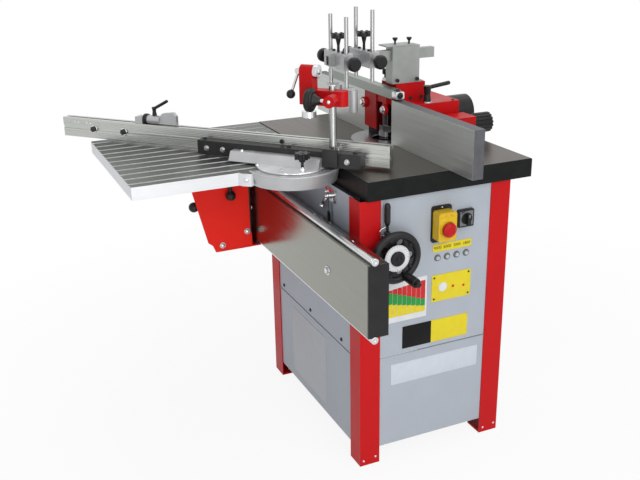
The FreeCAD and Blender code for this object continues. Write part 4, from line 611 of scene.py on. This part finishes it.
def chart_bars():
    """Generic stepped chart: three colours of bars on a white sheet."""
    columns = 8
    gap = 0.4
    left, right, low, high = -147.0, -30.0, 452.0, 547.0
    # Heights between the bands as shares of the chart, at its left and what they gain to its right
    starts = (0.0, 0.42, 0.78, 0.86)
    gains = (0.0, -0.24, -0.38, 0.12)
    width = (right - left) / columns
    for band, key in enumerate(("print_yellow", "print_green", "print_red")):
        bm = bmesh.new()
        for index in range(columns):
            share = index / (columns - 1)
            cuts = [low + (high - low) * (start + gain * share) for start, gain in zip(starts, gains)]
            y0 = left + width * index + gap
            y1 = left + width * index + width - gap
            z0, z1 = cuts[band], cuts[band + 1]
            outline = [(y0, z0), (y1, z0), (y1, z1), (y0, z1)]
            add_prism(bm, outline, Vector((PANEL_X + 0.6, 0, 0)), Y, Z, 0.5)
        piece("chart_" + key.split("_")[1], bm, "machine", key)


def switch_lid():
    """Yellow lid on the switch box, with tabs on its top edge, and the button's collar and screws."""
    plate_depth, box_depth = 5, 32
    plate_front = PANEL_X + plate_depth
    front = plate_front + box_depth
    y, z, button_z = 13.0, 703.0, 697
    tab_half, tab_pitch = 6.5, 17
    screw_reach = 46.5
    bm = bmesh.new()
    add_prism(bm, rounded(y - 25, y + 25, z - 38, z + 30, 6), Vector((front - 0.3, 0, 0)), Y, Z, 0.5, 0.2)
    for offset in (-tab_pitch, 0, tab_pitch):
        tab = rounded(y + offset - tab_half, y + offset + tab_half, z + 28, z + 40, 4)
        add_prism(bm, tab, Vector((front - 3, 0, 0)), Y, Z, 4.4, 1.0)
    piece("switch_lid", bm, "machine", "yellow")
    lathe("switch_collar", "machine", "yellow", [(front, y, button_z)], X,
          [(20.9, 0), (24.2, 0), (24.2, 2.6), (23.4, 3.6), (21.6, 3.6), (20.9, 2.8)], 48, True)
    screws = [(plate_front, y, z + screw_reach), (plate_front, y, z - screw_reach)]
    lathe("switch_screws", "machine", "chrome", screws, X, button_head(2.8, 1.6), 20)


def selector_frame():
    """Dark chrome square face and ring round the selector's disc, and the white mark on its knob."""
    y, z, half, hole = 88.0, 708.0, 20.5, 16.6
    back, front, knob_front = PANEL_X + 9.8, PANEL_X + 11.4, PANEL_X + 27.1
    mark_half, mark_low, mark_high = 0.8, 6, 14
    steps = 32
    bm = bmesh.new()
    rows = []
    for x in (back, front):
        inner, outer = [], []
        for c, s in ring_points(steps, 1):
            reach = half / max(abs(c), abs(s))
            inner.append(bm.verts.new((x, y + hole * c, z + hole * s)))
            outer.append(bm.verts.new((x, y + reach * c, z + reach * s)))
        rows.append((inner, outer))
    (a_in, a_out), (b_in, b_out) = rows
    for i in range(steps):
        j = (i + 1) % steps
        bm.faces.new((b_in[i], b_in[j], b_out[j], b_out[i]))
        bm.faces.new((a_in[j], a_in[i], a_out[i], a_out[j]))
        bm.faces.new((a_out[i], b_out[i], b_out[j], a_out[j]))
        bm.faces.new((b_in[i], a_in[i], a_in[j], b_in[j]))
    piece("selector_face", bm, "machine", "ring", 25)
    lathe("selector_ring", "machine", "ring", [(front - FLAT_SINK, y, z)], X,
          [(16.4, 0), (18.6, 0), (18.6, 0.8), (18, 1.2), (16.8, 1.2), (16.4, 0.8)], 40, True)
    outline = [(y - mark_half, z + mark_low), (y + mark_half, z + mark_low),
               (y + mark_half, z + mark_high), (y - mark_half, z + mark_high)]
    prism("selector_mark", "selector_knob", "white", outline, (knob_front, 0, 0), Y, Z, 0.5)


def hand_controls():
    """Dial, cap, ribs and sleeve of the handwheel, and the lock lever's pointer, sleeve and screw."""
    y, z = -146.0, 645.0
    hub_front, spoke_front = 370.0, 368
    spokes, rib_reach = 5, 52
    marks, mark_end, mark_width = 40, 36, 0.7
    lathe("wheel_dial", "handwheel", "white", [(hub_front, y, z)], X,
          [(20, 0.2), (37, 0.2), (37, 2.2), (36.3, 2.8), (20, 2.8)], 48, True)
    bm = bmesh.new()
    for index, (c, s) in enumerate(ring_points(marks, 1)):
        out = Y * c + Z * s
        length = 6.0 if index % 5 == 0 else 3.5
        outline = mark(mark_end - length, mark_end, mark_width)
        add_prism(bm, outline, Vector((hub_front + 2.7, y, z)), out, X.cross(out), 0.35)
    piece("wheel_dial_marks", bm, "handwheel", "dark")
    lathe("wheel_cap", "handwheel", "black", [(hub_front, y, z)], X,
          [(0, 0), (20.5, 0), (20.5, 7), (19, 9), (10, 9.4), (8.5, 7.4), (5, 7.4), (4.4, 10),
           (0, 10.6)], 48)
    ribs = [(spoke_front, *point) for point in ring_points(spokes, rib_reach, (y, z), 0.5)]
    lathe("wheel_ribs", "handwheel", "black", ribs, X, dome(6, 3.5), 20)
    lathe("grip_sleeve", "handwheel_grip", "black", [(372, -120, 591)], X,
          [(10.1, 0), (11.5, 0), (12.5, 6), (13.2, 30), (13.6, 50), (12.6, 57), (10.1, 59)], 40, True)
    lever_x, lever_y, lever_z, lever_front = 338.3, -158.0, 690.0, 349.2
    lathe("lever_screw", "lock_lever", "chrome", [(lever_front, lever_y, lever_z)], X,
          socket_head(6.5, 6))
    lathe("lever_sleeve", "lock_lever", "black_satin", [(lever_x, lever_y, lever_z + 10)], Z,
          [(4.3, 0), (8.6, 0), (8.6, 9), (7.4, 10.5), (4.3, 10.5)], 32, True)
    bends = ((-5, 12), (-16, 10), (-23, 20), (-21, 30), (-5, 34), (-4.2, 34))
    route = [(lever_x, lever_y + a, lever_z + b) for a, b in bends]
    wire("lever_pointer", "lock_lever", "chrome", route, 1.1)


def front_panel():
    """Screws, folded lips and bare plate of the panels, and the latch's link, nuts, foot and grip."""
    screws = [(x, PANEL_Y, 352) for x in (-230, -16, 204)]
    lathe("front_screws", "machine", "black_satin", screws, -Y, button_head(6, 3.2))
    seam_low, seam_high = 329.5, 332.8
    prism("front_seam_lip", "machine", "grey", rounded(-279, 279, seam_low, seam_high, 1.2),
          (0, PANEL_Y + 0.3, 0), X, Z, 1.9, 0.5)
    prism("control_seam_lip", "machine", "grey", rounded(-185, 185, seam_low, seam_high, 1.2),
          (PANEL_X - 0.3, 0, 0), Y, Z, 1.6, 0.5)
    prism("front_plate", "machine", "bare", rounded(-165, 95, 78, 306, 4),
          (0, PANEL_Y + FLAT_SINK, 0), X, Z, 0.9, 0.3)
    latch_x, latch_z = 152.0, 770.0
    bracket_face, lever_face, washer_face = -234, -239.1, -241.9
    link_half, link_depth = 7, 4.0
    pin = Vector((latch_x, washer_face, latch_z))
    link_end = Vector((latch_x - 36, washer_face, latch_z - 40))
    run = (link_end - pin).normalized()
    outline = rounded(-link_half, (link_end - pin).length + link_half, -link_half, link_half, 6.9)
    prism("latch_link", "latch_lever", "chrome", outline, pin, run, (-Y).cross(run), link_depth, 0.6)
    nut_seat = -Y * (link_depth - FLAT_SINK)
    lathe("latch_nuts", "latch_lever", "chrome", [pin + nut_seat, link_end + nut_seat], -Y,
          dome(7.5, 6), 24)
    lathe("latch_foot", "latch_lever", "chrome", [link_end], Y,
          [(0, 0), (4.6, 0), (4.6, 8), (3.8, 9), (0, 9)], 24)
    lathe("bracket_nut", "machine", "chrome", [(latch_x - 26, bracket_face, latch_z + 4)], -Y,
          dome(7, 5.5), 24)
    grip = [(latch_x + a, latch_z + b) for a, b in
            ((-8.5, -76), (8.5, -76), (8.5, -48), (6, -45), (-6, -45), (-8.5, -48))]
    prism("latch_grip", "latch_lever", "black", grip, (0, lever_face, 0), X, Z, 2.2, 0.8)


def rear_panels():
    """Screws round the panels that face away, and at the posts' feet."""
    post_front = 327
    levels = (68, 420, 780)
    feet = [(post_front, y, z) for y, z in ((-222, 16), (-184, 22), (184, 16), (222, 22))]
    lathe("foot_screws", "machine", "chrome", feet, X, button_head(3.6, 2), 20)
    rear = [(x, REAR_Y, z) for x in (-262, 0, 262) for z in levels]
    lathe("rear_screws", "machine", "black_satin", rear, Y, button_head(5, 2.8), 24)
    side = [(SIDE_X, y, z) for y in (-172, 172) for z in levels]
    lathe("side_screws", "machine", "black_satin", side, -X, button_head(5, 2.8), 24)


def rail_details():
    """Rod ends in the caps, and the screw heads and washers on the rail."""
    rod_y, rod_levels, cap_x = -294.0, (718, 512), 524.8
    for name, axis, x in (("rod_ends_right", X, cap_x), ("rod_ends_left", -X, -cap_x)):
        lathe(name, "machine", "chrome", [(x, rod_y, z) for z in rod_levels], axis,
              [(0, 0), (9.9, 0), (9.9, 5.2), (9, 6.0), (2.6, 6.0), (1.6, 5.0), (0, 4.8)], 32)
    screws = [(x, -270, 710) for x in (-360, -120, 120, 360)]
    lathe("rail_top_screws", "machine", "chrome", screws, Z, button_head(4.5, 2.4), 24)
    bolts = [(x, -312, 615) for x in (-296, 296)]
    lathe("rail_washers", "machine", "chrome", bolts, -Y, washer(9, 13, 1.6, 0.6, 0.6), 32, True)


def carriage_details():
    """Dome nuts and washers, dark strips of painted shade along the carriage's top edge and its edge by
    the rail, a clip, and hem of the carriage plate.
    """
    face = -266.0
    nuts = [(face, -336, 546), (face, -420, 512)]
    lathe("carriage_nuts", "slide", "chrome", nuts, X, dome(7, 5.5), 28)
    lathe("carriage_washers", "slide", "chrome", nuts, X, washer(6.5, 10, 1.3, 0.5, 0.5), 28, True)
    strips = (
        # The first two strips are painted shade: dark strips where shade falls under the slide table and
        # in the gap by the rail
        ("carriage_shade_line", "black_satin", rounded(-533, -322, 811, 815, 1.0), 1.4, 0.4),
        ("carriage_shade_strip", "black", rounded(-325.5, -321.2, 540, 810, 1.0), 1.6, 0.4),
        ("carriage_clip", "black", rounded(-333, -321.5, 742, 762, 2.0), 5.0, 1.0),
        # The hem is in the red paint brightened as painted light
        ("carriage_hem", "lit_red", rounded(-440, -324, 492.3, 497, 1.0), 1.6, 0.5),
    )
    for name, look, outline, depth, bevel in strips:
        prism(name, "slide", look, outline, (face - FLAT_SINK, 0, 0), Y, Z, depth, bevel)


def mitre_dial():
    """Scale marks and raised edge of the round bracket, and the rim and face of the dial on it."""
    pivot = MITRE_PIVOT + Z * TABLE_Z
    marks, first_degree, pitch_degrees = 37, -88, 5
    mark_end, bracket_radius, table_edge = 120, 128, -222
    dial_foot, dial_top = 850.6, 855.3
    bm = bmesh.new()
    for index in range(marks):
        angle = math.radians(first_degree + pitch_degrees * index)
        out = X * math.cos(angle) + Y * math.sin(angle)
        if math.cos(angle) < 0.02 or (pivot + out * bracket_radius).y > table_edge:
            continue
        length = 12.0 if index % 3 == 0 else 7.0
        add_prism(bm, mark(mark_end - length, mark_end, 1.0), pivot - Z * 0.1, out, Z.cross(out), 0.3)
    piece("mitre_scale", bm, "slide", "dark")
    base_lip(pivot)
    lathe("dial_rim", "mitre", "chrome", [MITRE_PIVOT + Z * dial_foot], Z,
          [(99.6, 0), (100.6, 0), (101, 1), (101, 3.8), (100.4, 4.9), (99.6, 4.9)], 96, True)
    lathe("dial_face", "mitre", "dial", [MITRE_PIVOT + Z * dial_top], Z,
          [(38, -0.1), (99.4, -0.1), (99.4, 0.1), (99.2, 0.25), (38, 0.25)], 96, True)


def base_lip(pivot):
    """Raised edge of the round bracket, over the arc that stands clear of the tables."""
    steps, first_degree, sweep_degrees = 64, -89, 137
    section = [(121.5, -0.2), (129.2, -0.2), (129.2, 2.2), (128.4, 3), (122.3, 3), (121.5, 2.2)]
    bm = bmesh.new()
    rings = []
    for step in range(steps + 1):
        angle = math.radians(first_degree + sweep_degrees * step / steps)
        out = X * math.cos(angle) + Y * math.sin(angle)
        rings.append([bm.verts.new(pivot + out * radius + Z * high) for radius, high in section])
    for first, second in zip(rings, rings[1:]):
        for i in range(len(section)):
            j = (i + 1) % len(section)
            bm.faces.new((first[i], first[j], second[j], second[i]))
    bm.faces.new(rings[0])
    bm.faces.new(rings[-1][::-1])
    piece("base_lip", bm, "slide", "cast")


def fence_details():
    """Slot strip, ribs, bolts and pins of the fence, bolts of its bar, and the column's foot."""
    face, slot_z, slot_floor = 35.0, 888.0, 38.2
    rib_half, rib_levels = 0.8, (863, 867.5, 872, 876.5, 897, 901.5, 906, 910.5)
    slot = rounded(-805.5, 265.5, slot_z - 4.6, slot_z + 4.6, 0.3)
    prism("fence_slot_strip", "mitre", "fence", slot, mitre(0, slot_floor, 0), ALONG, Z, 1.8, 0.2)
    bm = bmesh.new()
    for z in rib_levels:
        rib = rounded(-804, 265, z - rib_half, z + rib_half, 0.4)
        add_prism(bm, rib, mitre(0, face + FLAT_SINK, 0), ALONG, Z, 0.7, 0.2)
    piece("fence_ribs", bm, "mitre", "fence")
    bar_front, bar_top = 1.0, 895.6
    bolts = [mitre(x, bar_front, 874) for x in (-272, -220, 158)]
    hex_bolts("bar_bolts", "mitre", "steel", bolts, -ACROSS, 6.5, 5, 8)
    screws = [mitre(x, COLUMN_Y, bar_top) for x in (-286, -20, 176)]
    lathe("bar_screws", "mitre", "black_satin", screws, Z, socket_head(6, 5), 24)
    prism("column_block", "mitre", "black_satin", rounded(91.5, 134, 858, 907, 3),
          mitre(0, bar_front + FLAT_SINK, 0), ALONG, Z, 11, 1.5)
    lathe("column_nut", "mitre", "chrome", [mitre(COLUMN_X, COLUMN_Y, bar_top)], Z,
          washer(10.2, 16, 7, 2, 1.4), 6, True)
    slot_bolts = [mitre(x, face, slot_z) for x in (-691, -581)]
    lathe("fence_washers", "mitre", "chrome", slot_bolts, -ACROSS,
          washer(7.5, 12, 2.2, 0.8, 0.8), 32, True)
    heads = [spot - ACROSS * 0.4 for spot in slot_bolts]
    hex_bolts("fence_bolts", "mitre", "black_satin", heads, -ACROSS, 9, 8)
    pins = [mitre(x, face, 904) for x in (-761, -748, -716, -703)]
    lathe("fence_pins", "mitre", "chrome", pins, -ACROSS, dome(3.2, 1.6), 20)
    lathe("fence_screw", "mitre", "black_satin", [mitre(-49, face, 905)], -ACROSS,
          socket_head(6.5, 5), 24)


def mitre_details():
    """Screws of the mitre body, the bolted mount at the table's corner, and trim of the knob and stop."""
    screws = [mitre(-150, -12, 880.2), mitre(-84, -48, 855.2)]
    lathe("body_screws", "mitre", "chrome", screws, Z, button_head(6, 3.4), 24)
    mount = [(91.8, -476), (107, -472), (124, -452), (119, -443), (91.8, -443)]
    mount_foot, mount_high = 817, 35
    prism("base_mount", "slide", "slide", mount, (0, 0, mount_foot), X, Y, mount_high, 1.5)
    bolt_axis = (0.762, -0.648, 0)
    lathe("base_bolt", "slide", "chrome", [(115.3, -461.8, 834)], bolt_axis, dome(7, 5), 28)
    knob_x, knob_y, knob_foot, knob_top = 56, -58, 856, 903.7
    lathe("mitre_knob_collar", "mitre_knob", "chrome", [mitre(knob_x, knob_y, knob_foot)], Z,
          [(4, 0), (8.5, 0), (8.5, 6), (7.5, 7.5), (6, 8), (6, 11), (4, 11)], 32, True)
    lathe("mitre_knob_cap", "mitre_knob", "black", [mitre(knob_x, knob_y, knob_top)], Z, dome(9, 3), 32)
    stop_y = 50
    lathe("stop_ring", "stop", "black", [mitre(-510, stop_y, 930.3)], ALONG,
          [(12.4, 0), (15.3, 0), (16, 2), (16, 10), (15.3, 12), (12.4, 12)], 40, True)
    lathe("stop_screw", "stop", "chrome", [mitre(-526, stop_y, 936.8)], Z, socket_head(5, 4), 24)


def clamp_details():
    """Ear nut, knob hub and rim, and cam screw of the hold-down clamp, and the column's cap."""
    ear_x, ear_face = 126, -39.9
    cam_face, cam_z, column_top = 74.2, 1106, 1072
    lathe("clamp_ear_nut", "clamp", "chrome", [mitre(ear_x, ear_face, CLAMP_KNOB_Z)], -ACROSS,
          dome(5.5, 4), 32)
    lathe("clamp_knob_hub", "clamp_knob", "black", [mitre(79.6, CLAMP_KNOB_Y, CLAMP_KNOB_Z)], ALONG,
          [(5.2, -0.3), (18, -0.3), (17, 3), (11, 9), (9, 17), (8, 18), (5.2, 18)], 40, True)
    lathe("clamp_knob_rim", "clamp_knob", "black", [mitre(61, CLAMP_KNOB_Y, CLAMP_KNOB_Z)], ALONG,
          [(24, -0.9), (29, 0), (31, 2.5), (31.6, 6), (31.6, 10), (30.4, 13.5), (27, 15.5),
           (24, 15.5)], 64, True)
    lathe("clamp_cam_screw", "clamp_lever", "steel", [mitre(cam_face, COLUMN_Y, cam_z)], ALONG,
          button_head(8, 3.5), 28)
    lathe("column_cap", "mitre", "chrome", [mitre(COLUMN_X, COLUMN_Y, column_top)], Z,
          [(0, -0.2), (9.8, -0.2), (9.8, 0.6), (8.6, 1.6), (0, 1.8)], 32)


def hood_details():
    """Bolts, screws and nut of the hood and riser, lid and screws of the presser post, and lever seat."""
    hood_top, riser_front, lid_foot, lid_top = 960, -40, 1124.8, 1128.3
    hex_bolts("boss_bolts", "machine", "chrome", [(-164, 26, 944), (-32, 26, 944)], -Y, 9, 6.5, 11)
    prism("post_lid", "machine", "post", rounded(-86, -36, 37, 133, 2), (0, 0, lid_foot), X, Y, 3.6, 0.8)
    lathe("post_thumb_screws", "machine", "black", [(-68, 83, lid_top), (-57, 124, lid_top)], Z,
          [(0, -0.3), (3, -0.3), (3, 8), (4.5, 9), (7, 13), (8, 15), (8, 17), (7, 18), (0, 18.2)], 24)
    foot_screws = [(riser_front, y, 1025) for y in (76, 143)]
    lathe("post_foot_screws", "machine", "black_satin", foot_screws, X, socket_head(5.5, 6), 24)
    riser_screws = [(riser_front, y, 970) for y in (92, 122, 160)]
    lathe("riser_screws", "machine", "black_satin", riser_screws, X, socket_head(5, 4), 24)
    bolt_x, bolt_y, nut_foot, bolt_foot = -112, 76, 1015, 1022.6
    hex_bolts("riser_nut", "machine", "chrome", [(bolt_x, bolt_y, nut_foot)], Z, 9, 8, 12)
    lathe("riser_bolt", "machine", "black", [(bolt_x, bolt_y, bolt_foot)], Z,
          [(0, 0), (4, 0), (4, 9), (9, 11), (10, 14), (10, 24), (8.5, 27), (0, 27.4)], 32)
    lathe("hood_lever_seat", "machine", "chrome", [(6, 153, hood_top)], Z,
          washer(8, 13.5, 3.6, 1.2, 1.0), 40, True)
    screws = [(x, y, hood_top) for x, y in ((-150, 240), (10, 240), (10, 90))]
    lathe("hood_screws", "machine", "black_satin", screws, Z, button_head(5, 3), 24)


def presser_details():
    """End clamp of the bridge bar, lobes of the presser knobs and set screws of the holders."""
    clamp_y, clamp_z, clamp_half, clamp_end, clamp_depth = 45, 995.5, 11, 9.8, 25
    front = clamp_end + clamp_depth - FLAT_SINK
    block = rounded(clamp_y - 14, clamp_y + 14, clamp_z - clamp_half, clamp_z + clamp_half, 3)
    prism("bridge_clamp", "machine", "chrome", block, (clamp_end, 0, 0), Y, Z, clamp_depth, 1.5)
    lathe("bridge_clamp_washer", "machine", "black_satin", [(front, clamp_y, clamp_z)], X,
          washer(4, 9.5, 2, 0.8, 0.7), 32, True)
    lathe("bridge_clamp_screw", "machine", "black_satin", [(front, clamp_y, clamp_z)], X,
          socket_head(6, 8), 24)
    lathe("bridge_clamp_bolt", "machine", "black_satin", [(22, clamp_y, 1006.2)], Z,
          socket_head(6, 6), 24)
    rod_left, rod_right, beam_rows = -113, -9, (-105, -23)
    beam_x = (rod_left + rod_right) / 2
    lobe_count, lobe_reach, lobe_foot = 6, 15.5, 1171
    lobes = [(*point, lobe_foot) for y in beam_rows
             for point in ring_points(lobe_count, lobe_reach, (beam_x, y))]
    lathe("tee_knob_lobes", "presser_beam", "black", lobes, Z, dome(5.2, 3), 20)
    screw_inset, holder_top = 22, 1120
    screws = [(x, y, holder_top) for x in (rod_left + screw_inset, rod_right - screw_inset)
              for y in beam_rows]
    lathe("presser_set_screws", "presser_beam", "black_satin", screws, Z, socket_head(4.5, 5), 20)


# Studio

def studio():
    """Pale floor, soft lights and a white background that lights the object less than it shows."""
    world = bpy.data.worlds.new("studio")
    bpy.context.scene.world = world
    world.use_nodes = True
    tree = world.node_tree
    shown = tree.nodes["Background"]
    shown.inputs["Color"].default_value = (1, 1, 1, 1)
    shown.inputs["Strength"].default_value = 1.0
    fill = tree.nodes.new("ShaderNodeBackground")
    fill.inputs["Color"].default_value = (0.95, 0.97, 1.0, 1)
    fill.inputs["Strength"].default_value = 0.4
    mixer = tree.nodes.new("ShaderNodeMixShader")
    tree.links.new(seen_rays(tree), mixer.inputs["Fac"])
    tree.links.new(fill.outputs["Background"], mixer.inputs[1])
    tree.links.new(shown.outputs["Background"], mixer.inputs[2])
    tree.links.new(mixer.outputs["Shader"], tree.nodes["World Output"].inputs["Surface"])
    floor()
    lamp("key", (3.2, 0.6, 3.0), (0, 0, 0.6), 2.6, 50)
    lamp("fill", (2.3, -3.0, 1.3), (-0.1, -0.3, 0.6), 2.0, 4)
    lamp("low", (3.0, -0.9, 0.7), (-0.2, -0.4, 0.6), 1.6, 20)
    lamp("glint", (2.1, -2.3, 2.0), (0, 0, 0.8), 0.45, 7)
    lamp("top", (-0.6, 0.6, 4.2), (0, 0, 0.8), 3.0, 36)


def seen_rays(tree):
    """1 for rays that show the background itself: seen directly, in gloss or through glass."""
    path = tree.nodes.new("ShaderNodeLightPath")
    glossy = number(tree, path.outputs["Is Camera Ray"], "MAXIMUM", path.outputs["Is Glossy Ray"])
    return number(tree, glossy, "MAXIMUM", path.outputs["Is Transmission Ray"])


def floor():
    """Floor that takes the object's shadow near it and is white further out."""
    half_side, shadow_end, white_start, least_white = 14, 0.8, 2.0, 0.9
    bm = bmesh.new()
    bmesh.ops.create_grid(bm, x_segments=4, y_segments=4, size=half_side)
    mesh = bpy.data.meshes.new("floor")
    bm.to_mesh(mesh)
    bm.free()
    obj = bpy.data.objects.new("floor", mesh)
    bpy.context.scene.collection.objects.link(obj)
    made = bpy.data.materials.new("floor_paper")
    made.use_nodes = True
    tree = made.node_tree
    shader = tree.nodes["Principled BSDF"]
    shader.inputs["Base Color"].default_value = (0.9, 0.9, 0.9, 1)
    shader.inputs["Roughness"].default_value = 0.9
    glow = tree.nodes.new("ShaderNodeEmission")
    glow.inputs["Strength"].default_value = 1.0
    mixer = tree.nodes.new("ShaderNodeMixShader")
    apart = new_node(tree, "VectorMath", operation="LENGTH")
    tree.links.new(new_node(tree, "TexCoord").outputs["Object"], apart.inputs[0])
    white = new_node(tree, "MapRange")
    white.inputs["From Min"].default_value = shadow_end
    white.inputs["From Max"].default_value = white_start
    white.inputs["To Min"].default_value = least_white
    tree.links.new(apart.outputs["Value"], white.inputs["Value"])
    share = number(tree, seen_rays(tree), "MULTIPLY", white.outputs["Result"])
    tree.links.new(share, mixer.inputs["Fac"])
    tree.links.new(shader.outputs["BSDF"], mixer.inputs[1])
    tree.links.new(glow.outputs["Emission"], mixer.inputs[2])
    tree.links.new(mixer.outputs["Shader"], tree.nodes["Material Output"].inputs["Surface"])
    mesh.materials.append(made)


def lamp(name, at, target, size, power):
    """Square area light that looks at a target."""
    light = bpy.data.lights.new(name, "AREA")
    light.size = size
    light.energy = power
    obj = bpy.data.objects.new(name, light)
    bpy.context.scene.collection.objects.link(obj)
    obj.location = at
    obj.rotation_euler = (Vector(target) - Vector(at)).to_track_quat("-Z", "Y").to_euler()


def camera():
    """Camera fitted to the photograph's straight edges."""
    right = Vector((0.41123, 0.91135, -0.01799))
    down = Vector((0.31373, -0.16004, -0.93593))
    forward = Vector((-0.85584, 0.37924, -0.35173))
    at = Vector((2225.4, -1187.0, 1496.5))
    data = bpy.data.cameras.new("camera")
    data.lens = 49.15
    data.sensor_width = 36.0
    obj = bpy.data.objects.new("camera", data)
    bpy.context.scene.collection.objects.link(obj)
    turn = Matrix((right, -down, -forward)).transposed().to_4x4()
    obj.matrix_world = Matrix.Translation(at * MM) @ turn
    bpy.context.scene.camera = obj


dress_nodes()
control_panel()
hand_controls()
front_panel()
rear_panels()
rail_details()
carriage_details()
mitre_dial()
fence_details()
mitre_details()
clamp_details()
hood_details()
presser_details()
studio()
camera()
bpy.context.scene.view_settings.view_transform = "Standard"
